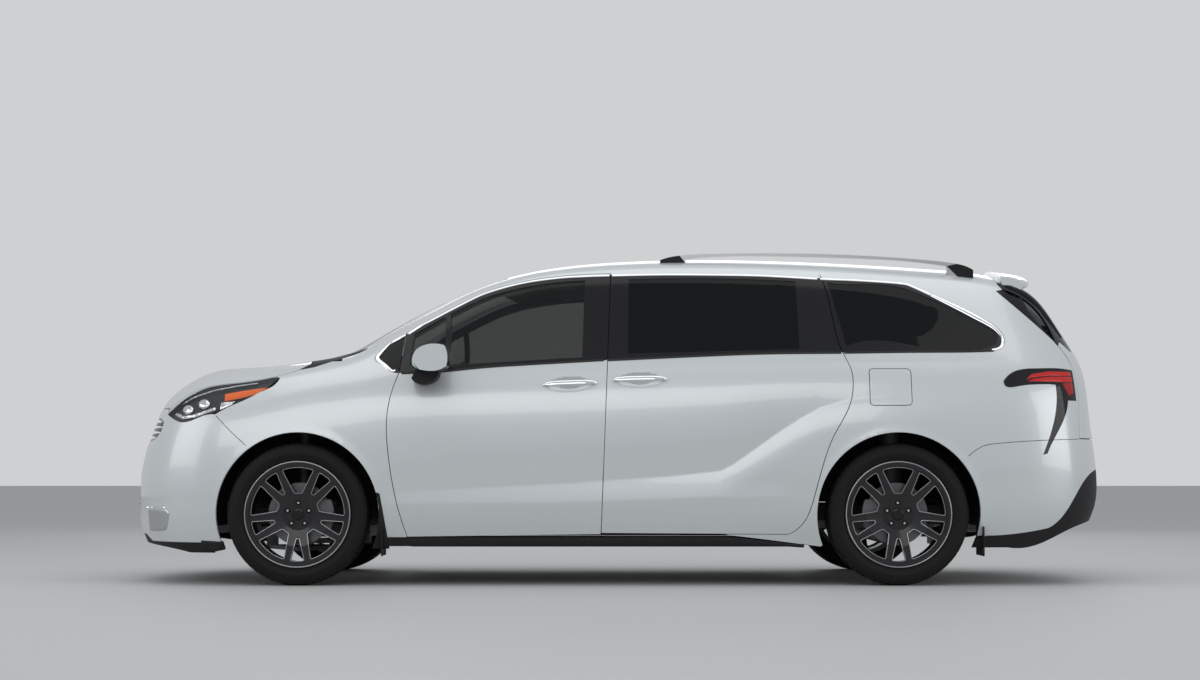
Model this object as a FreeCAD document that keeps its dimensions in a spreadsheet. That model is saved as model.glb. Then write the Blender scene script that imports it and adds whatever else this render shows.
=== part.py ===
import FreeCAD, Part
import math
import os

# A full-size minivan with two hinged front doors, two sliding side doors and a tailgate.
# X runs rearwards, Y to the car's right-hand side and Z up, from the middle of its footprint.

doc = FreeCAD.newDocument("minivan")
vector = FreeCAD.Vector
lengthwise = vector(1, 0, 0)
sideways = vector(0, 1, 0)
upwards = vector(0, 0, 1)
origin = vector(0, 0, 0)

# Driving sizes, in millimetres and degrees
driving_sizes = {
    "overall_length": 5174,
    "overall_width": 1994,
    "overall_height": 1740,
    "wheelbase": 3061,
    "front_overhang": 965,
    "track_width": 1710,
    "floor_height": 400,
    "body_underside": 150,
    "door_wall": 70,
    "pillar_wall": 58,
    "roof_wall": 38,
    "front_wall": 20,
    "tail_wall": 40,
    "shut_gap": 6,
    "hood_gap": 9,
    "door_skin": 10,
    "inner_setback": 24,
    "pillar_depth": 42,
    "seal_lap": 40,
    "fuel_pocket_depth": 30,
    "grille_depth": 5,
    "grille_bar": 12,
    "spoiler_fin": 22,
    "rail_width": 30,
    "rail_spacing": 1180,
    "mud_flap_thickness": 5,
    "mud_flap_drop": 62,
    "glass_depth": 3,
    "glass_thickness": 5,
    "lamp_depth": 16,
    "arch_radius": 418,
    "liner_radius": 434,
    "liner_wall": 5,
    "liner_inner_edge": 505,
    "cutting_overrun": 40,
    "running_clearance": 0.3,
    "liner_skin_gap": 20,
    "liner_bottom": 300,
    "liner_axle_slot": 420,
    "floor_plate": 12,
    "frame_depth": 88,
    "frame_width": 80,
    "frame_spacing": 900,
    "frame_nose": 470,
    "sill_spacing": 1620,
    "sill_width": 110,
    "firewall_lead": 54,
    "firewall_top": 1120,
    "floor_tail": 330,
    "dash_width": 1560,
    "steering_wheel_x": -740,
    "steering_wheel_height": 985,
    "steering_wheel_radius": 182,
    "steering_wheel_tilt": 24,
    "steering_grip_radius": 15,
    "steering_boss_radius": 62,
    "steering_boss_depth": 48,
    "steering_column_radius": 34,
    "steering_column_length": 330,
    "front_seat_spacing": 780,
    "front_seat_x": -560,
    "second_row_x": 450,
    "third_row_x": 1330,
    "seat_width": 500,
    "seat_plinth": 190,
    "cushion_depth": 510,
    "cushion_thickness": 130,
    "cushion_round": 30,
    "seat_back_height": 720,
    "seat_back_thickness": 130,
    "seat_back_lean": 18,
    "head_rest_width": 250,
    "head_rest_height": 170,
    "head_rest_thickness": 90,
    "engine_x": -2160,
    "engine_length": 520,
    "engine_width": 740,
    "engine_depth": 560,
    "tank_x": 330,
    "tank_length": 620,
    "tank_width": 640,
    "tank_offset": 230,
    "tank_depth": 150,
    "tank_round": 30,
    "subframe_height": 232,
    "subframe_bar": 56,
    "subframe_width": 860,
    "subframe_reach": 290,
    "arm_thickness": 22,
    "ball_joint_height": 212,
    "ball_joint_radius": 20,
    "exhaust_offset": 300,
    "exhaust_height": 305,
    "exhaust_radius": 27,
    "muffler_x": 1860,
    "muffler_length": 420,
    "muffler_radius": 68,
    "spring_height": 770,
    "rear_beam_length": 1330,
    "rear_beam_radius": 38,
    "rear_beam_drop": 130,
    "trailing_arm_length": 520,
    "window_corner_radius": 9,
    "tyre_radius": 362,
    "tyre_width": 235,
    "tyre_shoulder": 24,
    "tread_crown": 5,
    "rim_seat_radius": 254,
    "rim_lip_radius": 271,
    "rim_width": 216,
    "rim_barrel_wall": 8,
    "rim_lip_width": 9,
    "spoke_face_drop": 16,
    "spoke_hub_drop": 40,
    "spoke_thickness": 26,
    "hub_pad_radius": 82,
    "hub_pad_thickness": 34,
    "centre_bore_radius": 32,
    "stud_circle": 114.3,
    "stud_hole_radius": 7,
    "nut_recess_radius": 15,
    "nut_recess_depth": 20,
    "disc_radius": 160,
    "disc_thickness": 26,
    "disc_setback": 22,
    "caliper_width": 74,
    "caliper_clearance": 6,
    "steering_axis_offset": 100,
    "steering_axis_lean": 13,
    "strut_radius": 25,
    "spring_radius": 62,
    "strut_top_height": 935,
    "tower_radius": 98,
    "tower_wall": 5,
}

sheet = doc.addObject("Spreadsheet::Sheet", "sizes")
for row, (alias, value) in enumerate(driving_sizes.items(), start=1):
    sheet.set(f"A{row}", alias)
    sheet.set(f"B{row}", str(value))
    sheet.setAlias(f"B{row}", alias)
doc.recompute()


def size(alias):
    return float(sheet.get(alias))


half_length = size("overall_length") / 2
half_width = size("overall_width") / 2
height = size("overall_height")
length = size("overall_length")
front_axle_x = size("front_overhang") - half_length
rear_axle_x = front_axle_x + size("wheelbase")
wheel_centre_y = size("track_width") / 2
hub_height = size("tyre_radius")
shut_gap = size("shut_gap")
overrun = size("cutting_overrun")
clearance = size("running_clearance")

# Body lines from the sill up to the roof: nose and tail ends as shares of length and height,
# then places along the side as shares of length, half width and height
body_line_shares = {
    "sill_edge": [
        (-.4919, .1276), (.4871, .1638),
        (-.3769, .9328, .1236), (-.3135, .9388, .1236), (-.2223, .9278, .1247),
        (.1739, .9278, .1247), (.2781, .9348, .1218), (.3865, .9077, .1178),
    ],
    "rocker": [
        (-.4986, .1839), (.4971, .2184),
        (-.3769, .9649, .1897), (-.3135, .9829, .1897), (-.2223, .9689, .1885),
        (.1739, .9689, .1897), (.2781, .9850, .1897), (.3865, .9529, .1925),
    ],
    "crease": [
        (-.5000, .2471), (.5000, .2759),
        (-.3769, .9749, .2586), (-.3135, .9950, .2598), (-.2223, .9860, .2529), (0, .9880, .2586),
        (.1739, .9860, .2557), (.2781, .9980, .2615), (.3865, .9689, .2644),
    ],
    "lower_side": [
        (-.4977, .3218), (.4986, .3563),
        (-.3769, .9709, .3448), (-.3135, .9970, .3563), (-.2223, .9890, .3563), (0, .9910, .3621),
        (.1739, .9870, .3678), (.2781, 1.0000, .3736), (.3865, .9729, .3678),
    ],
    "upper_side": [
        (-.4919, .3966), (.4932, .4598),
        (-.3769, .9559, .4282), (-.3135, .9870, .4540), (-.2223, .9850, .4655), (0, .9870, .4770),
        (.1739, .9809, .4885), (.2781, .9910, .4971), (.3865, .9669, .4885),
    ],
    "shoulder": [
        (-.4851, .4598), (.4909, .5517),
        (-.3769, .9248, .4989), (-.3135, .9549, .5345), (-.2223, .9609, .5603), (0, .9629, .5833),
        (.1739, .9629, .5977), (.2781, .9629, .6046), (.3865, .9408, .5977),
    ],
    "belt": [
        (-.4793, .5000), (.4890, .6322),
        (-.3769, .8806, .5460), (-.3135, .9147, .5862), (-.2281, .9087, .6253),
        (-.0773, .9047, .6494), (.0773, .8977, .6713), (.2126, .8887, .6839),
        (.2781, .8826, .6868), (.3865, .8606, .6885),
    ],
    "window_middle": [
        (-.4758, .5201), (.4793, .6925),
        (-.3769, .8345, .5816), (-.3135, .8646, .6184), (-.2513, .8606, .6448),
        (-.2281, .8546, .6621), (-.2010, .8425, .6868), (-.1353, .8175, .7443),
        (-.0773, .8074, .7730), (-.0193, .8054, .7845), (.1353, .8024, .7960),
        (.2781, .7954, .7920), (.3865, .7673, .7828),
    ],
    "cant_rail": [
        (-.4731, .5345), (.4648, .7557),
        (-.3769, .7723, .6092), (-.3135, .7944, .6437), (-.2513, .7964, .6770),
        (-.2281, .7884, .7155), (-.2010, .7703, .7655), (-.1353, .7422, .8678),
        (-.0773, .7332, .9138), (-.0193, .7322, .9230), (.0580, .7322, .9276),
        (.1353, .7302, .9264), (.2126, .7252, .9184), (.2781, .7182, .9069), (.3865, .6820, .8805),
    ],
    "roof_edge": [
        (-.4697, .5471), (.4484, .8322),
        (-.3769, .6570, .6310), (-.3135, .6780, .6609), (-.2609, .6961, .6839),
        (-.2455, .6961, .7126), (-.2281, .6921, .7460), (-.2010, .6820, .7960),
        (-.1353, .6580, .8977), (-.0773, .6469, .9471), (-.0193, .6419, .9632),
        (.0580, .6419, .9701), (.1353, .6399, .9690), (.2126, .6349, .9598), (.2781, .6279, .9494),
        (.3865, .5918, .9264),
    ],
    "roof_quarter": [
        (-.4658, .5586), (.4372, .8908),
        (-.3769, .3912, .6506), (-.3135, .4012, .6713), (-.2822, .4052, .6839),
        (-.2648, .4052, .7098), (-.2397, .4032, .7598), (-.2010, .3992, .8230),
        (-.1353, .3912, .9149), (-.0773, .3862, .9609), (-.0193, .3831, .9805),
        (.0580, .3811, .9885), (.1353, .3811, .9885), (.2126, .3791, .9793), (.2781, .3751, .9701),
        (.3865, .3511, .9494),
    ],
    "roof_middle": [
        (-.4639, .5644), (.4306, .9241),
        (-.3769, .1404, .6569), (-.3135, .1404, .6759), (-.2899, .1404, .6874),
        (-.2725, .1404, .7126), (-.2393, .1404, .7741), (-.2066, .1404, .8264),
        (-.1718, .1404, .8759), (-.1339, .1404, .9241), (-.0999, .1404, .9552),
        (-.0620, .1404, .9764), (-.0193, .1404, .9885), (.0580, .1404, .9994),
        (.1353, .1404, 1.0000), (.2093, .1404, .9874), (.2781, .1404, .9782),
        (.3865, .1304, .9586),
    ],
    "roof_centre": [
        (-.4631, .5661), (.4262, .9391),
        (-.3769, 0, .6569), (-.3135, 0, .6759), (-.2899, 0, .6874), (-.2725, 0, .7126),
        (-.2393, 0, .7741), (-.2066, 0, .8264), (-.1718, 0, .8759), (-.1339, 0, .9241),
        (-.0999, 0, .9552), (-.0620, 0, .9764), (-.0193, 0, .9885), (.0580, 0, .9994),
        (.1353, 0, 1.0000), (.2093, 0, .9874), (.2781, 0, .9782), (.3865, 0, .9586),
    ],
}
line_names = list(body_line_shares)
station_shares = [
    -.3769, -.3440, -.3135, -.2802, -.2513, -.2281, -.2010, -.1662, -.1256, -.0773, -.0193,
    .0580, .1353, .2126, .2781, .3324, .3865,
]
# The upper lines' stations stand forward of the sill's, as the windscreen's base does
station_lead_shares = {
    "cant_rail": .0019,
    "roof_edge": .0116,
    "roof_quarter": .0251,
    "roof_middle": .0300,
    "roof_centre": .0300,
}
corner_width_shares = [0, .16, .36, .56, .74, .88, .97]
nose_roundness = 2.4
tail_roundness = 3.0
underside_tuck_share = .985
surface_degree = 3


def between(keys, place, column):
    if place <= keys[0][0]:
        return keys[0][column]
    for low, high in zip(keys, keys[1:]):
        if place <= high[0]:
            part_way = (place - low[0]) / (high[0] - low[0])
            return low[column] + part_way * (high[column] - low[column])
    return keys[-1][column]


def corner_points(side_point, end_x, end_z, roundness):
    # A body line's rounded corner in plan, from the middle of the car out to its side
    points = []
    for share in corner_width_shares:
        reach = (1 - share ** roundness) ** (1 / roundness)
        if share == corner_width_shares[1]:
            reach = 1
        rise = math.sin((1 - reach) * math.pi / 2)
        points.append(vector(
            side_point.x + (end_x - side_point.x) * reach,
            side_point.y * share,
            end_z + (side_point.z - end_z) * rise,
        ))
    return points


def line_points(name):
    (nose_x, nose_z), (tail_x, tail_z), *keys = body_line_shares[name]
    lead = station_lead_shares.get(name, 0)
    side = []
    for station in station_shares:
        place = station - lead
        side.append(vector(
            place * length,
            between(keys, place, 1) * half_width,
            between(keys, place, 2) * height,
        ))
    nose = corner_points(side[0], nose_x * length, nose_z * height, nose_roundness)
    tail = corner_points(side[-1], tail_x * length, tail_z * height, tail_roundness)
    return nose + side + tail[::-1]


body_net = [line_points(name) for name in line_names]
underside_line = [
    vector(
        point.x * underside_tuck_share,
        point.y * underside_tuck_share,
        size("body_underside"),
    )
    for point in body_net[0]
]
body_net.insert(0, underside_line)
row_count = len(body_net)
column_count = len(body_net[0])
belt_row = line_names.index("belt") + 1
rail_row = line_names.index("cant_rail") + 1
first_door_column = len(corner_width_shares) + 4
last_door_column = len(corner_width_shares) + len(station_shares) - 3


def outward(row, column):
    # The net's direction outwards at one of its points
    last_row = row_count - 1
    last_column = column_count - 1
    up_the_body = body_net[min(row + 1, last_row)][column] - body_net[max(row - 1, 0)][column]
    along_it = body_net[row][min(column + 1, last_column)] - body_net[row][max(column - 1, 0)]
    if column == 0:
        along_it = sideways
    if column == last_column:
        along_it = sideways * -1
    if row == last_row:
        up_the_body = sideways * -1
    if row == last_row and column in (0, last_column):
        direction = vector(-1 if column == 0 else 1, 0, 1)
    else:
        direction = along_it.cross(up_the_body)
    if column in (0, last_column) or row == last_row:
        direction.y = 0
    if row == 0:
        direction.z = 0
    return direction.normalize()


def wall_at(row, column):
    # The body wall's thickness: thin ahead of the doors, thick at the doors and pillars
    if row <= belt_row:
        side_wall = size("door_wall")
    elif row <= rail_row:
        side_wall = size("pillar_wall")
    else:
        side_wall = size("roof_wall")
    if column < first_door_column:
        return size("front_wall")
    if column == first_door_column:
        return (size("front_wall") + side_wall) / 2
    if column > last_door_column:
        return size("tail_wall")
    return side_wall


outward_net = [[outward(row, column) for column in range(column_count)] for row in range(row_count)]
if outward_net[belt_row][first_door_column].y < 0:
    outward_net = [[direction * -1 for direction in line] for line in outward_net]


def net_moved_in(depth_at):
    return [
        [
            body_net[row][column] - outward_net[row][column] * depth_at(row, column)
            for column in range(column_count)
        ]
        for row in range(row_count)
    ]


def net_surface(net):
    surface = Part.BSplineSurface()
    row_spans = row_count - surface_degree
    column_spans = column_count - surface_degree
    surface.buildFromPolesMultsKnots(
        net,
        [surface_degree + 1] + [1] * (row_spans - 1) + [surface_degree + 1],
        [surface_degree + 1] + [1] * (column_spans - 1) + [surface_degree + 1],
        list(range(row_spans + 1)),
        list(range(column_spans + 1)),
        False,
        False,
        surface_degree,
        surface_degree,
    )
    return surface.toShape()


def body_solid(net):
    # The closed body inside a net: its right half, its mirrored left half and a flat underside
    right = net_surface(net)
    left = net_surface([[vector(point.x, -point.y, point.z) for point in line] for line in net])
    halves = Part.makeShell([right, left])
    halves.sewShape()
    open_edges = []
    for edge in halves.Edges:
        middle = edge.valueAt(sum(edge.ParameterRange) / 2)
        if abs(middle.z - size("body_underside")) < clearance:
            open_edges.append(edge)
    underside = Part.Face(Part.Wire(Part.__sortEdges__(open_edges)))
    shell = Part.makeShell([right, left, underside])
    shell.sewShape()
    solid = Part.Solid(shell)
    if solid.Volume < 0:
        solid.reverse()
    return solid


def body_moved_in(depth):
    return body_solid(net_moved_in(lambda row, column: depth))


outer_body = body_solid(body_net)
inner_space = body_solid(net_moved_in(wall_at))
body_wall = outer_body.cut(inner_space)
seal_space = body_solid(net_moved_in(
    lambda row, column: wall_at(row, column) + size("shut_gap")
))
cabin_space = body_solid(net_moved_in(
    lambda row, column: wall_at(row, column) + size("pillar_depth")
))
frame_wall = outer_body.cut(cabin_space)
glass_layer = body_moved_in(size("glass_depth")).cut(
    body_moved_in(size("glass_depth") + size("glass_thickness"))
)
under_skin = body_moved_in(size("door_skin"))

# Outlines


curve_samples = 12


def placed(share_point, view):
    if view == "side":
        return vector(share_point[0] * length, 0, share_point[1] * height)
    if view == "plan":
        return vector(share_point[0] * length, share_point[1] * half_width, 0)
    return vector(0, share_point[0] * half_width, share_point[1] * height)


def outline(runs, view="side"):
    # A closed outline of runs: two points are a straight edge and more are a smooth curve
    edges = []
    start = placed(runs[0][0], view)
    last = start
    for number, run in enumerate(runs):
        points = [placed(point, view) for point in run]
        if number > 0:
            points.insert(0, last)
        if len(points) == 2:
            edges.append(Part.LineSegment(points[0], points[1]).toShape())
        elif len(points) > 2:
            curve = Part.BSplineCurve()
            curve.interpolate(points)
            edges.append(curve.toShape())
        last = points[-1]
    if last.distanceToPoint(start) > clearance:
        edges.append(Part.LineSegment(last, start).toShape())
    return Part.Wire(edges)


def grown(wire, distance):
    # The outline moved outwards, or inwards where the distance is negative, with plain curves
    edges = []
    for edge in Part.__sortEdges__(wire.makeOffset2D(distance, 0).Edges):
        if isinstance(edge.Curve, (Part.Line, Part.Circle)):
            edges.append(edge)
            continue
        curve = Part.BSplineCurve()
        curve.interpolate(edge.discretize(Number=curve_samples))
        edges.append(curve.toShape())
    return Part.Wire(edges)


def side_prism(wire, side=-1):
    # From the car's middle plane out past one side; side 0 goes through both
    reach = half_width + size("track_width")
    face = Part.Face(wire)
    if side == 0:
        face.translate(sideways * -reach)
        return face.extrude(sideways * 2 * reach)
    return face.extrude(sideways * side * reach)


def front_prism(wire, x_from, x_to):
    face = Part.Face(wire)
    face.translate(lengthwise * x_from)
    return face.extrude(lengthwise * (x_to - x_from))


def plan_prism(wire, low, high):
    face = Part.Face(wire)
    face.translate(upwards * low)
    return face.extrude(upwards * (high - low))


def mirrored(shape):
    return shape.mirror(origin, sideways)


def largest_solids(shape, count=1):
    solids = sorted(shape.Solids, key=lambda solid: solid.Volume, reverse=True)
    if count == 1:
        return solids[0]
    return Part.makeCompound(solids[:count])


pieces = {}


def add_piece(name, shape):
    # A sub-part with its own label, its shape worked out from the sheet's sizes
    feature = doc.addObject("Part::Feature", name)
    feature.Label = name
    feature.Shape = shape
    feature.Placement = shape.Placement
    pieces[name] = feature
    return feature


def cylinder_along(start, end, radius):
    return Part.makeCylinder(radius, (end - start).Length, start, end - start)


def block(x_low, x_high, y_low, y_high, z_low, z_high):
    return Part.makeBox(x_high - x_low, y_high - y_low, z_high - z_low, vector(x_low, y_low, z_low))


# Side view outlines
front_door_shares = [
    [(-.2051, .1431), (-.2141, .2299), (-.2203, .3161), (-.2242, .4023), (-.2254, .4885),
     (-.2223, .5517), (-.2149, .6207)],
    [(-.2095, .7460)],
    [(-.1853, .7885), (-.1585, .8310), (-.1316, .8690), (-.0957, .9000), (-.0597, .9167), (-.0056, .9259)],
    [(-.0102, .5454), (-.0153, .1506)],
]
front_window_shares = [
    [(-.2053, .6425), (-.2022, .7425)],
    [(-.1836, .7747), (-.1585, .8155), (-.1316, .8523), (-.0957, .8828), (-.0597, .8994), (-.0309, .9057)],
    [(-.0332, .6695)],
    [(-.0966, .6586), (-.1546, .6483), (-.2053, .6425)],
]
division_bar_shares = [
    [(-.1749, .6207), (-.1697, .7322), (-.1726, .8276)],
    [(-.1674, .8362)],
    [(-.1647, .7322), (-.1701, .6207)],
]
sliding_door_shares = [
    [(-.0141, .1540), (-.0091, .5454), (-.0044, .9259)],
    [(.0580, .9305), (.1353, .9293), (.2064, .9218)],
    [(.2165, .7931), (.2252, .6839), (.2319, .6414), (.2339, .5925), (.2300, .5287), (.2136, .4368),
     (.2022, .3448), (.1944, .2621), (.1836, .1828), (.1693, .1506)],
]
roof_band_shares = [
    [(-.0044, .9259), (-.0027, .9678)],
    [(.0580, .9724), (.1353, .9713), (.2010, .9609)],
    [(.2064, .9218)],
    [(.1353, .9293), (.0580, .9305), (-.0044, .9259)],
]
sliding_window_shares = [
    [(.0116, .6799), (.0131, .9086)],
    [(.0580, .9121), (.1160, .9109), (.1817, .9029)],
    [(.1832, .6943)],
    [(.1353, .6897), (.0773, .6851), (.0116, .6799)],
]
quarter_window_shares = [
    [(.2296, .7023), (.2141, .8989)],
    [(.2513, .8943), (.2884, .8851), (.2996, .8736)],
    [(.3286, .8345), (.3560, .7920), (.3750, .7598)],
    [(.3823, .7368), (.3804, .7138)],
    [(.3750, .7046), (.3015, .7034), (.2296, .7023)],
]
corner_window_shares = [
    [(-.2389, .6678), (-.2265, .7126), (-.2107, .7402)],
    [(-.2161, .6241)],
    [(-.2389, .6678)],
]
body_side_shares = [
    [(-.2744, .6609), (-.2513, .6552), (-.2389, .6609)],
    [(-.2165, .6184)],
    [(-.2165, .2874)],
    [(-.2029, .1466)],
    [(-.2029, .1178)],
    [(-.1933, .1247), (.1739, .1247), (.2126, .1092)],
    [(.2783, .1092)],
    [(.2783, .3747)],
    [(.3456, .3747)],
    [(.3547, .3977), (.3655, .4115), (.3885, .4184), (.4200, .4241)],
    [(.4623, .4282)],
    [(.4635, .5437), (.4606, .6351), (.4426, .7184), (.4126, .8546)],
    [(.3937, .8799), (.3877, .9080), (.3862, .9310)],
    [(.3846, 1.0115)],
    [(-.2744, 1.0115)],
]
fender_shares = [
    [(-.2051, .1149), (-.2062, .1431)],
    [(-.2153, .2299), (-.2215, .3161), (-.2254, .4023), (-.2265, .4885), (-.2234, .5517), (-.2165, .6184)],
    [(-.2389, .6609)],
    [(-.2513, .6552), (-.2744, .6609)],
    [(-.3181, .6609)],
    [(-.3181, .7471)],
    [(-.3981, .7471)],
    [(-.3981, .5885)],
    [(-.3672, .5977), (-.3402, .6161)],
    [(-.3346, .6103)],
    [(-.3402, .5862), (-.3539, .5667), (-.3788, .5316), (-.3974, .5006)],
    [(-.3836, .4598), (-.3643, .4063)],
    [(-.3643, .1149)],
]
headlamp_shares = [
    [(-.4532, .5034), (-.4445, .4897), (-.4337, .4782), (-.4213, .4839), (-.4107, .4960)],
    [(-.3846, .5230), (-.3539, .5667), (-.3421, .5920), (-.3353, .6126)],
    [(-.3576, .6069), (-.3788, .5989), (-.4020, .5862)],
    [(-.4233, .5632), (-.4426, .5241), (-.4532, .5034)],
]
tail_lamp_shares = [
    [(.3840, .5994), (.3858, .5851), (.3981, .5839), (.4213, .5897), (.4372, .5885)],
    [(.4372, .5402), (.4314, .4598), (.4213, .3816)],
    [(.4260, .3862)],
    [(.4372, .4483), (.4480, .5115), (.4503, .5425)],
    [(.4608, .5425)],
    [(.4592, .6345)],
    [(.4407, .6391), (.4210, .6379), (.3951, .6276), (.3840, .5994)],
]
fuel_door_shares = [
    [(.2555, .5287), (.2870, .5287)],
    [(.2907, .5322), (.2915, .5431)],
    [(.2915, .6207)],
    [(.2905, .6322), (.2870, .6356)],
    [(.2555, .6356)],
    [(.2520, .6322), (.2513, .6207)],
    [(.2513, .5431)],
    [(.2520, .5322), (.2555, .5287)],
]
tailgate_shares = [
    [(.3858, 1.0115), (.3873, .9310)],
    [(.3889, .9098), (.3949, .8822)],
    [(.4138, .8569), (.4438, .7207)],
    [(.4617, .6362), (.4646, .5437), (.4635, .4322)],
    [(.5218, .4322)],
    [(.5218, 1.0115)],
]
rear_bumper_shares = [
    [(.3456, .3747), (.3547, .3977), (.3655, .4115), (.3885, .4184), (.4200, .4241)],
    [(.4623, .4282)],
    [(.5218, .4282)],
    [(.5218, .3448)],
    [(.4948, .3391)],
    [(.4729, .3218), (.4503, .2356), (.4279, .1678)],
    [(.4020, .1540), (.3734, .1460)],
    [(.3286, .1460)],
    [(.3286, .3747)],
]
rear_valance_shares = [
    [(.3440, .1379), (.3734, .1460)],
    [(.4020, .1540), (.4279, .1678)],
    [(.4503, .2356), (.4729, .3218), (.4948, .3391)],
    [(.5218, .3448)],
    [(.5218, .1897)],
    [(.4871, .1868), (.4525, .1644), (.4153, .1167), (.3871, .1103)],
    [(.3440, .1103)],
]
front_bumper_shares = [
    [(-.3643, .4063), (-.3836, .4598), (-.3974, .5006)],
    [(-.4107, .4960), (-.4213, .4839), (-.4337, .4782), (-.4445, .4897), (-.4532, .5034)],
    [(-.4532, .5201)],
    [(-.5218, .5201)],
    [(-.5218, .1506)],
    [(-.4774, .1448)],
    [(-.4681, .1253)],
    [(-.4028, .1253)],
    [(-.3643, .1253)],
]
front_valance_shares = [
    [(-.5218, .1506), (-.4774, .1448)],
    [(-.4681, .1253)],
    [(-.4028, .1253)],
    [(-.3962, .1253)],
    [(-.3962, .0948)],
    [(-.4219, .0948)],
    [(-.4399, .1052), (-.4793, .1178), (-.5218, .1230)],
]
nose_shares = [
    [(-.5218, .4023), (-.4532, .4023)],
    [(-.4532, .5201)],
    [(-.4733, .5201)],
    [(-.4712, .5333), (-.4677, .5448), (-.4639, .6207)],
    [(-.5218, .6207)],
]
grille_shares = [
    [(-.6018, .4931), (-.3009, .5011), (0, .5034), (.3009, .5011), (.6018, .4931)],
    [(.6780, .4816)],
    [(.6921, .4598), (.6018, .4264)],
    [(.3009, .4115), (0, .4080), (-.3009, .4115), (-.6018, .4264)],
    [(-.6921, .4598), (-.6780, .4816)],
    [(-.6018, .4931)],
]
intake_shares = [
    [(-.4714, .3195), (.4714, .3195)],
    [(.5416, .2701), (.5015, .1983)],
    [(.2508, .1851), (0, .1816), (-.2508, .1851), (-.5015, .1983)],
    [(-.5416, .2701), (-.4714, .3195)],
]
grille_opening_shares = [
    [(-.5978, .4856), (-.3009, .4937), (0, .4960), (.3009, .4937), (.5978, .4856)],
    [(.6640, .4759)],
    [(.6740, .4609), (.5958, .4333)],
    [(.3009, .4190), (0, .4155), (-.3009, .4190), (-.5958, .4333)],
    [(-.6740, .4609), (-.6640, .4759)],
    [(-.5978, .4856)],
]
intake_opening_shares = [
    [(-.4634, .3126), (.4634, .3126)],
    [(.5276, .2690), (.4915, .2057)],
    [(.2508, .1925), (0, .1891), (-.2508, .1925), (-.4915, .2057)],
    [(-.5276, .2690), (-.4634, .3126)],
]
rear_window_shares = [
    [(-.5496, .8828), (-.3009, .8897), (0, .8920), (.3009, .8897), (.5496, .8828)],
    [(.6018, .8621)],
    [(.6700, .7414), (.6780, .7126)],
    [(.6419, .6943)],
    [(.3009, .6897), (0, .6885), (-.3009, .6897), (-.6419, .6943)],
    [(-.6780, .7126)],
    [(-.6700, .7414), (-.6018, .8621)],
    [(-.5496, .8828)],
]
spoiler_shares = [
    [(.3923, .9557), (.4030, .9523), (.4208, .9443), (.4320, .9276), (.4347, .9138)],
    [(.4343, .8816)],
    [(.4281, .8897), (.4155, .8851), (.3923, .8621)],
    [(.3923, .9557)],
]
spoiler_crown_shares = [
    [(-.6018, .9161), (-.5617, .9264), (-.4012, .9431), (-.2006, .9523), (0, .9552), (.2006, .9523),
     (.4012, .9431), (.5617, .9264), (.6018, .9161)],
    [(.6138, .8621)],
    [(-.6138, .8621)],
    [(-.6018, .9161)],
]
spoiler_fin_shares = [
    [(.4097, .8966), (.4343, .8851)],
    [(.4426, .8276), (.4513, .7414)],
    [(.4459, .7253)],
    [(.4310, .7931), (.4126, .8621)],
]
rail_top_shares = [
    (.0456, .9736), (.0541, .9816), (.0696, .9885), (.0966, .9925), (.1687, .9943), (.2513, .9874),
    (.3092, .9759), (.3440, .9644), (.3576, .9552), (.3653, .9437),
]
rail_gap_shares = [
    (.0715, .9770), (.0966, .9833), (.1687, .9851), (.2513, .9782), (.3092, .9667), (.3382, .9552),
]
dash_shares = [
    [(-.2435, .6276), (-.2281, .6368), (-.2010, .6322), (-.1739, .6161)],
    [(-.1658, .5920), (-.1643, .5517)],
    [(-.1749, .5057), (-.1788, .4023)],
    [(-.2010, .3678)],
    [(-.2435, .3678)],
]
mirror_shares = [
    [(-.1968, .6310), (-.1979, .6552), (-.1940, .6839)],
    [(-.1855, .6977), (-.1739, .7011), (-.1666, .6966)],
    [(-.1643, .6782), (-.1647, .6379)],
    [(-.1701, .6276), (-.1855, .6241), (-.1968, .6310)],
]
mirror_foot_shares = [
    [(-.2002, .6046), (-.1952, .6345)],
    [(-.1739, .6345)],
    [(-.1778, .5977), (-.1855, .5874), (-.1952, .5897), (-.2002, .6046)],
]
cross_member_shares = [.08, .42, .93]
mirror_outer_share = 1.175
mirror_inner_share = .965
mirror_foot_share = .88
bar_pitch_share = 2.4
rail_foot_share = .92
crown_share = .25
spoke_pairs = 5
wide_window_shares = (.44, .965)
wide_window_angles = (10, 19.5)
slot_shares = (.5, .965)
slot_angles = (3, 8.5)
steering_spoke_angles = [0, 180, 270]
cowl_plan_shares = [
    [(-.3239, 0), (-.3191, .3009), (-.3075, .6018), (-.3056, .7422)],
    [(-.3164, .8084)],
    [(-.3015, .8084)],
    [(-.2513, .7021)],
    [(-.2513, .6700)],
    [(-.2600, .6219), (-.2783, .4614), (-.2922, .2407), (-.2961, 0)],
    [(-.2922, -.2407), (-.2783, -.4614), (-.2600, -.6219), (-.2513, -.6700)],
    [(-.2513, -.7021)],
    [(-.3015, -.8084)],
    [(-.3164, -.8084)],
    [(-.3056, -.7422)],
    [(-.3075, -.6018), (-.3191, -.3009), (-.3239, 0)],
]
hood_plan_shares = [
    [(-.5218, 0), (-.5218, .5617)],
    [(-.4538, .6419)],
    [(-.4385, .7041), (-.4246, .7382), (-.4057, .7683), (-.3767, .7964), (-.3479, .8144), (-.3286, .8144)],
    [(-.3181, .7984), (-.3073, .7422)],
    [(-.3092, .6018), (-.3208, .3009), (-.3257, 0)],
    [(-.3208, -.3009), (-.3092, -.6018), (-.3073, -.7422)],
    [(-.3181, -.7984), (-.3286, -.8144)],
    [(-.3479, -.8144), (-.3767, -.7964), (-.4057, -.7683), (-.4246, -.7382), (-.4385, -.7041),
     (-.4538, -.6419)],
    [(-.5218, -.5617)],
    [(-.5218, 0)],
]
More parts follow.
